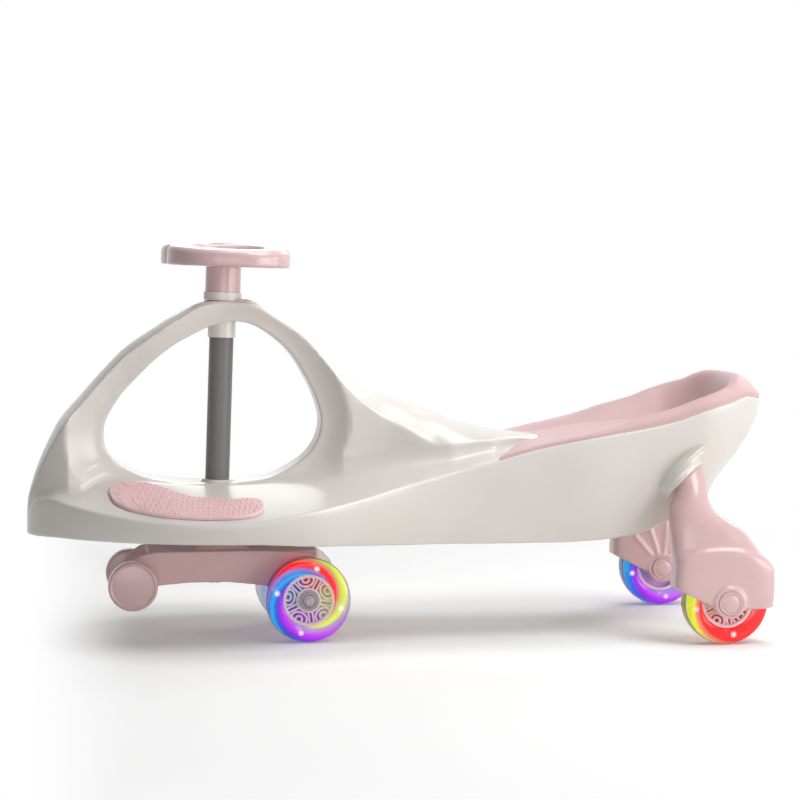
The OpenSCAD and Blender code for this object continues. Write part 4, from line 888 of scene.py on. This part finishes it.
def fender_cut():
    """The slanted cut that bares the front of the tyre."""
    cut = np.array(FENDER_CUT) * (FENDER_REACH, WELL_R)
    n = len(cut)
    sides = [np.c_[REAR_X + cut[:, 0], np.full(n, y), AXLE_Z + cut[:, 1]] for y in THROUGH]
    return np.concatenate(sides), capped(2, n)


def rear_leg():
    """The right leg, with ribs on its inner face, bosses at the axle, a wheel well and bores."""
    leg = tidy_mesh(made("rear_leg", *leg_form()))
    axle = across(REAR_X, AXLE_Z)
    for turn in RIB_TURNS:
        root = Matrix.Translation((REAR_X, FENDER_IN - RIB_PROUD, AXLE_Z))
        way = root @ Matrix.Rotation(math.radians(-turn), 4, "Y") @ Matrix.Rotation(math.radians(90), 4, "Y")
        combine(leg, moved(rod(RIB_D, *RIB_ENDS), way), "UNION")
    combine(leg, moved(rod(BOSS_D, FENDER_OUT - FENDER_WALL, FENDER_OUT + BOSS_OUT), axle), "UNION")
    combine(leg, moved(rod(BOSS_D, FENDER_IN - BOSS_IN, FENDER_IN + FENDER_WALL), axle), "UNION")
    well = rod(2 * WELL_CUT_R, REAR_Y - WELL_HALF, REAR_Y + WELL_HALF)
    combine(leg, moved(well, axle), "DIFFERENCE")
    combine(leg, fender_cut(), "DIFFERENCE")
    covers = (rod(COVER_BORE, FENDER_OUT, THROUGH[1]), rod(COVER_BORE, THROUGH[0], FENDER_IN))
    combine(leg, together([moved(bore, axle) for bore in covers]), "DIFFERENCE")
    combine(leg, moved(rod(AXLE_BORE, *THROUGH), axle), "DIFFERENCE")
    return shade(moulded(leg, voxel=1.6, rounds=4, keep=0.4), 60)


leg = rear_leg()
leg.name = "right_leg_moulding"
dress(mirror_copy(leg, "left_leg_moulding"), "body", "pink_plastic", pink_plastic, "left_rear_leg")
dress(leg, "body", "pink_plastic", pink_plastic, "right_rear_leg")
covers = []
for y, turn in ((FENDER_OUT, 0), (FENDER_IN, math.pi)):
    at = across(REAR_X, AXLE_Z, y) @ Matrix.Rotation(turn, 4, "X")
    cover = moved(lathe(COVER, 96, closed=False), at)
    covers += [cover, mirrored(cover)]
covers = shade(tidy_mesh(made("axle_covers", *together(covers))), 40)
dress(covers, "body", "pink_plastic", pink_plastic, "rear_caps")

# Wheels.
RED, ORANGE, YELLOW = (1.0, 0.012, 0.015), (1.0, 0.2, 0.01), (0.75, 0.85, 0.01)
GREEN, CYAN, BLUE = (0.4, 0.75, 0.03), (0.0, 0.42, 0.85), (0.01, 0.1, 0.75)
VIOLET, MAGENTA, PALE = (0.28, 0.02, 0.85), (0.55, 0.02, 0.9), (0.62, 0.58, 0.62)
# For each wheel, the place of its first lamp as a share of a turn, and the lights' colours along their swirl:
# share of a turn, colour and how strongly it is lit.
GLOWS = {
    "left_front": (0.211, [
        (0.0, YELLOW, 1), (0.06, YELLOW, 0.8), (0.12, ORANGE, 0.7), (0.18, RED, 1), (0.27, RED, 1),
        (0.33, VIOLET, 0.5), (0.38, BLUE, 0.8), (0.46, CYAN, 1), (0.54, BLUE, 1), (0.62, VIOLET, 1),
        (0.73, MAGENTA, 1), (0.82, MAGENTA, 0.6), (0.88, PALE, 0.25), (0.95, YELLOW, 0.9)]),
    "right_front": (0.1, [
        (0.0, PALE, 0.15), (0.1, ORANGE, 0.5), (0.22, ORANGE, 0.7), (0.34, PALE, 0.15), (0.55, CYAN, 0.6),
        (0.72, VIOLET, 0.6), (0.88, PALE, 0.15)]),
    "left_rear": (0.03, [
        (0.0, RED, 1), (0.1, RED, 0.6), (0.18, PALE, 0.2), (0.27, GREEN, 0.5), (0.36, YELLOW, 1),
        (0.5, YELLOW, 1), (0.57, ORANGE, 0.7), (0.66, RED, 1), (0.9, RED, 1)]),
    "right_rear": (0.03, [
        (0.0, PALE, 0.2), (0.14, BLUE, 0.6), (0.22, CYAN, 1), (0.38, CYAN, 1), (0.52, BLUE, 1),
        (0.62, VIOLET, 1), (0.74, MAGENTA, 1), (0.9, VIOLET, 0.6)]),
}
# Lights painted in the tyre: lamps to a turn, their radius, size of a lamp's painted glint and of its middle,
# where the painted colours are full and where they end, and where the painted dark edge starts. These and
# the hub's slots are in metres.
LAMPS, LAMP_R, SPOT_R, SPOT_MIDDLE = 4, 0.034, 0.0042, 0.0006
GLOW_FULL, GLOW_END, PAINTED_EDGE_FROM = 0.0422, 0.0437, 0.0431
SWIRL = 0.36
SLOT_TOP, SLOT_FLOOR = 0.0085, 0.004
SLOT_INNER, SLOT_OUTER = (0.012, 0.014), (0.0245, 0.0235)


def swirl_place(w):
    """Place, radius, turn and place along the lights' swirl, for a wheel made about its own centre."""
    where = place(w)
    x = w.make("SeparateXYZ", Vector=where)
    z = x.other(2)
    r = (x * x + z * z) ** 0.5
    turn = w.math("ARCTAN2", z, x) / (2 * math.pi)
    twist = SWIRL / ((TYRE_R - HUB_R) * MM)
    along = turn + (2 + SWIRL / 2 + twist * HUB_R * MM) - r * twist
    return where, r, turn, along.alone("FRACT")


def ramp(w, at, stops):
    return w.make("ValToRGB", {"stops": stops}, Fac=at)


def clear_tread(name, first_lamp, glow):
    """Clear tyre with painted light from its lamps: glowing swirls, a painted glint at each lamp, a clear
    edge.
    """
    mat, w = material(name)
    where, r, turn, along = swirl_place(w)
    colour = ramp(w, along, [(at, c) for at, c, lit in glow])
    # Where lit, the base colour is a darker copy of the lights' colours: painted light on a clear tyre.
    deep = ramp(w, along, [(at, tuple(0.4 * v for v in c)) for at, c, lit in glow])
    lit = ramp(w, along, [(at, lit) for at, c, lit in glow])
    inside = r.step(GLOW_END, GLOW_FULL)
    # Painted shade: a dark rim at the tyre's outer edge, standing for refraction at its grazing edge.
    outline = r.step(PAINTED_EDGE_FROM, GLOW_END)
    # Painted glint: a white spot at each lamp.
    to_lamp = (turn * LAMPS + (LAMPS + 0.5 - LAMPS * first_lamp)).alone("FRACT") - 0.5
    sideways, outward = to_lamp * r * (2 * math.pi / LAMPS), r - LAMP_R
    spot = ((sideways * sideways + outward * outward) ** 0.5).step(SPOT_R, SPOT_MIDDLE)
    cloud = speckle(w, where, 60.0)
    arm = ((along - first_lamp) * (2 * math.pi * LAMPS)).alone("COSINE")
    # Painted light: the tyre glows in the swirls' colours, as if lit by the lamps inside.
    strength = inside * lit * (0.6 + cloud * 0.5 + arm * 0.14)
    shine = (spot * lit * inside).blend(strength.blend((0, 0, 0), colour), (1, 1, 1))
    clear = outline.blend((0.8, 0.8, 0.83), (0.05, 0.03, 0.06))
    rubbed = speckle(w, where, 240.0)
    bump = w.make("Bump", Strength=0.05, Distance=STREAK_DEPTH, Height=rubbed)
    surface(w, w.make("BsdfPrincipled", Base_Color=(inside * lit).blend(clear, deep),
                      Roughness=0.05 + rubbed * 0.1, Alpha=0.26 + inside * lit * 0.66 + outline * 0.5,
                      Emission_Color=shine, Emission_Strength=0.85, IOR=1.45, Normal=bump))
    return mat


def lit_hub(name, glow):
    """Moulded hub with painted shade in its deep slots and a painted glow in the lights' colours."""
    mat, w = material(name)
    where, r, turn, along = swirl_place(w)
    colour = ramp(w, (turn + 1.0).alone("FRACT"), [(at, c) for at, c, lit in glow])
    depth = w.make("SeparateXYZ", out=1, Vector=where).alone("ABSOLUTE")
    # Painted shade: the base colour turns dark down in the deep slots.
    slot = depth.step(SLOT_TOP, SLOT_FLOOR) * r.step(*SLOT_INNER) * r.step(*SLOT_OUTER)
    fine = speckle(w, where, 900.0, 2.0)
    drift = speckle(w, where, 40.0)
    face = drift.step(*TINT_RANGE).blend((0.84, 0.7, 0.74), (0.92, 0.79, 0.82))
    bump = w.make("Bump", Strength=0.06, Distance=STREAK_DEPTH, Height=fine)
    # Painted light: the hub glows faintly in the lights' colours, more in its slots.
    surface(w, w.make("BsdfPrincipled", Base_Color=slot.blend(face, (0.24, 0.14, 0.16)),
                      Roughness=0.42 + (drift - 0.5) * GLOSS_DRIFT, Normal=bump, IOR=PLASTIC_IOR,
                      Emission_Color=(slot * 0.22 + 0.06).blend((0, 0, 0), colour), Emission_Strength=1.0))
    return mat


# Shapes of a wheel about its own centre, with the outer face at positive Z.
TREAD_ROUND = 6.75
HUB_ARMS, HUB_START = 5, 0.36
HUB_FLOOR, HUB_HIGH, HUB_LIP = 2.0, 10.0, 11.9
BAR_EDGE_R, BAR_FOOT, BAR_SINK = 23.6, 12.6, 0.5
LOOP_BARS = ((math.radians(20), 14.6), (math.radians(8.2), 18.6))
LOOP_R, LOOP_ROUND, LOOP_WIDE = 23.5, 0.75, 2.1
STRAIGHT_OFF, STRAIGHT_WIDE = 2.2, 2.0
BAR_BEVEL, BAR_TOP = 0.3, 0.8
HUB = [(11.05, 10.5), (11.05, 3.5), (9.0, 3.5), (9.0, -3.5), (11.05, -3.5), (11.05, -10.5), (13.7, -10.5),
       (14.3, -6.0), (23.7, -6.0), (23.7, -11.9), (27.0, -11.9), (27.0, -3.85), (25.0, -3.85), (25.0, 3.85),
       (27.0, 3.85), (27.0, HUB_LIP - 0.7), (26.3, HUB_LIP), (24.4, HUB_LIP), (23.4, HUB_LIP - 0.9),
       (23.2, HUB_FLOOR + 0.4), (22.8, HUB_FLOOR), (13.6, HUB_FLOOR), (13.2, HUB_FLOOR + 0.4), (13.0, 9.8),
       (12.3, 10.5)]
RACE = [(4.05, 3.5), (4.05, 10.5), (6.2, 10.5), (6.5, 9.8), (8.9, 9.8), (9.2, 10.5), (10.7, 10.5),
        (11.0, 10.2), (11.0, 3.8), (10.7, 3.5)]


def tyre_profile():
    bead = [(HUB_R + 2.0, TYRE_HALF), (HUB_R + 0.6, TYRE_HALF - 0.6), (HUB_R + 0.05, TYRE_HALF - 2.0)]
    points = [(r, -z) for r, z in bead[::-1]]
    for side, start in ((-1, -90), (1, 0)):
        for a in np.radians(np.arange(start, start + 91, 10)):
            points.append((TYRE_R - TREAD_ROUND + TREAD_ROUND * math.cos(a),
                           side * (TYRE_HALF - TREAD_ROUND) + TREAD_ROUND * math.sin(a)))
    return points + bead


def strip(path, width):
    """A raised bar along a flat path over the hub's floor."""
    p = np.array(path, float)
    way = np.gradient(p, axis=0)
    way /= np.linalg.norm(way, axis=1, keepdims=True)
    side = np.stack([-way[:, 1], way[:, 0]], -1) * width / 2
    section = [(-1, HUB_FLOOR - BAR_SINK), (-1, HUB_HIGH - BAR_BEVEL), (-BAR_TOP, HUB_HIGH)]
    section += [(-out, z) for out, z in section[::-1]]
    rings = [np.c_[p + out * side, np.full(len(p), z)] for out, z in section]
    return np.stack(rings, 1).reshape(-1, 3), capped(len(p), len(section))


def turned(path, angle):
    """A flat path of (out, across) points, turned about the axle."""
    c, s = math.cos(angle), math.sin(angle)
    return [(r * c - y * s, r * s + y * c) for r, y in path]


def hub_face():
    """Hub with a rim, a boss, and nested and straight bars over deep slots."""
    parts = [lathe(HUB, 144)]
    for k in range(HUB_ARMS):
        mid = 2 * math.pi * (k + HUB_START) / HUB_ARMS
        for half, inner_r in LOOP_BARS:
            spread = half * LOOP_R
            bend = spread * LOOP_ROUND
            path = [(r, -spread) for r in np.linspace(BAR_EDGE_R, inner_r + bend, 4)]
            path += [(inner_r + bend * (1 - math.cos(b)), spread * math.sin(b))
                     for b in np.linspace(-math.pi / 2, math.pi / 2, 15)[1:-1]]
            path += [(r, spread) for r in np.linspace(inner_r + bend, BAR_EDGE_R, 4)]
            parts.append(strip(turned(path, mid), LOOP_WIDE))
        for off in (-STRAIGHT_OFF, STRAIGHT_OFF):
            path = [(r, off) for r in np.linspace(BAR_FOOT, BAR_EDGE_R, 5)]
            parts.append(strip(turned(path, mid + math.pi / HUB_ARMS), STRAIGHT_WIDE))
    return together(parts)


WHEELS = {"left_front": (FRONT_X, -FRONT_Y, AXLE_Z), "right_front": (FRONT_X, FRONT_Y, AXLE_Z),
          "left_rear": (REAR_X, -REAR_Y, AXLE_Z), "right_rear": (REAR_X, REAR_Y, AXLE_Z)}


def on_axle(corner, name, part, degrees):
    """A piece of a wheel, faced outward and put in its place."""
    centre = Vector(WHEELS[corner])
    outward = Matrix.Rotation(math.radians(-90 if centre.y > 0 else 90), 4, "X")
    obj = shade(tidy_mesh(made(corner + name, *moved(part, outward))), degrees)
    obj.matrix_world = Matrix.Translation(centre * MM)
    bpy.context.view_layer.update()
    return obj


for corner, (first_lamp, glow) in GLOWS.items():
    tread = on_axle(corner, "_tread", lathe(tyre_profile(), 144), 60)
    finish = clear_tread(corner + "_clear_tread", first_lamp, glow)
    dress(tread, corner + "_wheel", "clear_tread", finish, corner + "_tyre")
    hub = on_axle(corner, "_spoked_hub", hub_face(), 35)
    dress(hub, corner + "_wheel", "pink_plastic", lit_hub(corner + "_lit_hub", glow), corner + "_hub")

# Shielded bearings in the hubs, and the washers and nuts at the ends of the front axle.
for corner in WHEELS:
    race = lathe(RACE, 96)
    pair = together([race, moved(race, Matrix.Rotation(math.pi, 4, "X"))])
    pair = on_axle(corner, "_shielded_bearings", pair, 35)
    dress(pair, corner + "_wheel", "bright_steel", bearing_steel, corner + "_bearings")
WASHER = [(4.1, 10.8), (8.0, 10.8), (8.0, 11.9), (7.7, 12.2), (6.9, 12.3), (6.5, 12.0), (5.6, 12.0),
          (4.1, 12.1)]
NUT = [(4.1, 12.4), (6.3, 12.4), (6.6, 12.8), (6.6, 15.0), (6.0, 15.8), (4.4, 16.2), (4.1, 15.8)]
ends = {"axle_washers": (WASHER, 96, "front_washers"), "axle_nuts": (NUT, 6, "front_nuts")}
for name, (profile, steps, node) in ends.items():
    one = moved(lathe(profile, steps), across(FRONT_X, AXLE_Z, FRONT_Y))
    both = shade(tidy_mesh(made(name, *together([one, mirrored(one)]))), 30)
    dress(both, "steering", "bright_steel", bearing_steel, node)

# Nose rollers.
ROLLER_X, ROLLER_Z, ROLLER_FROM = -287.41, 60.0, 46.0
ROLLER = [(4.1, 0), (22.5, 0), (24.4, 0.7), (25.3, 2.2), (25.5, 4.0), (25.5, 12.2), (25.2, 13.8),
          (24.4, 15.2), (23.2, 15.9), (22.2, 15.6), (21.7, 14.9), (21.2, 14.6), (20.4, 14.7), (19.4, 15.0),
          (0, 15.0), (0, 11.5), (4.1, 11.5)]
right_roller = moved(lathe(ROLLER, 120, closed=False), across(ROLLER_X, ROLLER_Z, ROLLER_FROM))
for side, part in (("right", right_roller), ("left", mirrored(right_roller))):
    roller = shade(tidy_mesh(made(side + "_nose_wheel", *part)), 40)
    dress(roller, side + "_nose_roller", "pink_plastic", pink_plastic, side + "_roller")


def lamp_plastic(name):
    """The ring of lamps inside a tyre: pale plastic with small bright lamps along it."""
    mat, w = material(name)
    where = place(w)
    lamps = w.make("TexVoronoi", Vector=where, Scale=160.0).step(0.35, 0.15)
    grime = speckle(w, where, 90.0)
    tint = grime.step(*TINT_RANGE).blend((0.7, 0.6, 0.68), (0.85, 0.78, 0.84))
    surface(w, w.make("BsdfPrincipled", Base_Color=tint, Roughness=0.25 + grime * 0.2,
                      Emission_Color=lamps.blend((0.02, 0.01, 0.02), (1.0, 0.75, 0.95)),
                      Emission_Strength=0.5))
    return mat


# Finishes of the solids' own pieces. Those not named are screws, bolts, pins and spacers in bright steel.
lamp_ring = lamp_plastic("lamp_ring")
FINISHES = {
    "underside_pan": cream_plastic, "head_collar": cream_plastic, "deck_bush": cream_plastic,
    "steering_shaft": dark_paint, "column_sleeve": pink_plastic, "front_axle": bearing_steel,
}
FINISHES.update({corner + "_lights": lamp_ring for corner in WHEELS})
FINISHES.update({corner + "_core": dark_plastic for corner in WHEELS})
for node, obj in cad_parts.items():
    obj.data.materials.clear()
    obj.data.materials.append(FINISHES.get(node, bright_steel))

# Stage, light and camera, in metres but for the floor's corners.
FLOOR = 9000
FLOOR_GAP = 0.0004
FADE_NEAR, FADE_FAR = 0.5, 1.2
FADE_NOSE, FADE_FRONT = -0.27, -0.4
LIGHT_SIZE, LIGHT_AIM = 1.2, (0, 0, 0.15)
LIGHTS = [("top", (0.35, 0.25, 2.2), 17), ("top_front", (0.9, -0.9, 2.0), 23),
          ("right_back", (1.6, 1.6, 1.6), 11), ("back", (0.0, 2.6, 1.2), 6),
          ("right_low", (2.4, -0.8, 0.3), 10), ("right_front_low", (1.8, -1.8, 0.3), 17),
          ("front_low", (-0.3, -2.4, 0.3), 7)]
SKY = 0.06
WHITE = (1, 1, 1)


def seen(w):
    """1 for what the camera sees, straight or by a glossy or clear surface."""
    return w.make("LightPath", out=0) + w.make("LightPath", out=3) + w.make("LightPath", out=6)


def paper(name):
    """Pale floor that keeps the shadow near the car and fades to white away from it."""
    mat, w = material(name)
    x = w.make("SeparateXYZ", Vector=place(w))
    y = x.other(1)
    round_about = ((x * x + y * y) ** 0.5).step(FADE_NEAR, FADE_FAR)
    away = w.math("MAXIMUM", round_about, x.step(FADE_NOSE, FADE_FRONT))
    sheet = w.make("BsdfDiffuse", Color=(0.95, 0.95, 0.95))
    near = w.make("AddShader", at0=sheet, at1=w.make("Emission", Color=WHITE, Strength=0.15))
    shown = w.make("MixShader", at0=away, at1=near, at2=w.make("Emission", Color=WHITE, Strength=1.0))
    bounce = w.make("BsdfDiffuse", Color=(0.9, 0.89, 0.88))
    surface(w, w.make("MixShader", at0=seen(w), at1=bounce, at2=shown))
    return mat


def lamp(name, location, power):
    light = bpy.data.lights.new(name, "AREA")
    light.shape, light.size, light.energy = "DISK", LIGHT_SIZE, power
    obj = bpy.data.objects.new(name, light)
    obj.location = location
    obj.rotation_euler = (Vector(LIGHT_AIM) - Vector(location)).to_track_quat("-Z", "Y").to_euler()
    bpy.context.scene.collection.objects.link(obj)


corners = [(-FLOOR, -FLOOR, 0), (FLOOR, -FLOOR, 0), (FLOOR, FLOOR, 0), (-FLOOR, FLOOR, 0)]
floor = made("floor", corners, [(0, 1, 2, 3)])
floor.location.z = -FLOOR_GAP
floor.data.materials.append(paper("floor_paper"))
for name, location, power in LIGHTS:
    lamp(name, location, power)
world = bpy.data.worlds.new("studio")
bpy.context.scene.world = world
world.use_nodes = True
world.node_tree.nodes.clear()
w = Wire(world.node_tree, None)
sky = w.make("Background", Color=(1.0, 0.985, 0.965), Strength=SKY)
white = w.make("Background", Color=WHITE, Strength=1.0)
w.make("OutputWorld", Surface=w.make("MixShader", at0=seen(w), at1=sky, at2=white))

CAMERA_AT = (-0.3609, -2.429, 0.4046)
CAMERA_YAW = 8.4
CAMERA_PITCH = 3.707
FOCAL, SENSOR = 104.175, 36.0
eye = bpy.data.cameras.new("eye")
eye.lens, eye.sensor_width, eye.sensor_fit = FOCAL, SENSOR, "HORIZONTAL"
camera = bpy.data.objects.new("eye", eye)
camera.location = CAMERA_AT
camera.rotation_euler = (math.radians(90 - CAMERA_PITCH), 0, math.radians(-CAMERA_YAW))
bpy.context.scene.collection.objects.link(camera)
bpy.context.scene.camera = camera
bpy.context.scene.view_settings.view_transform = "Standard"
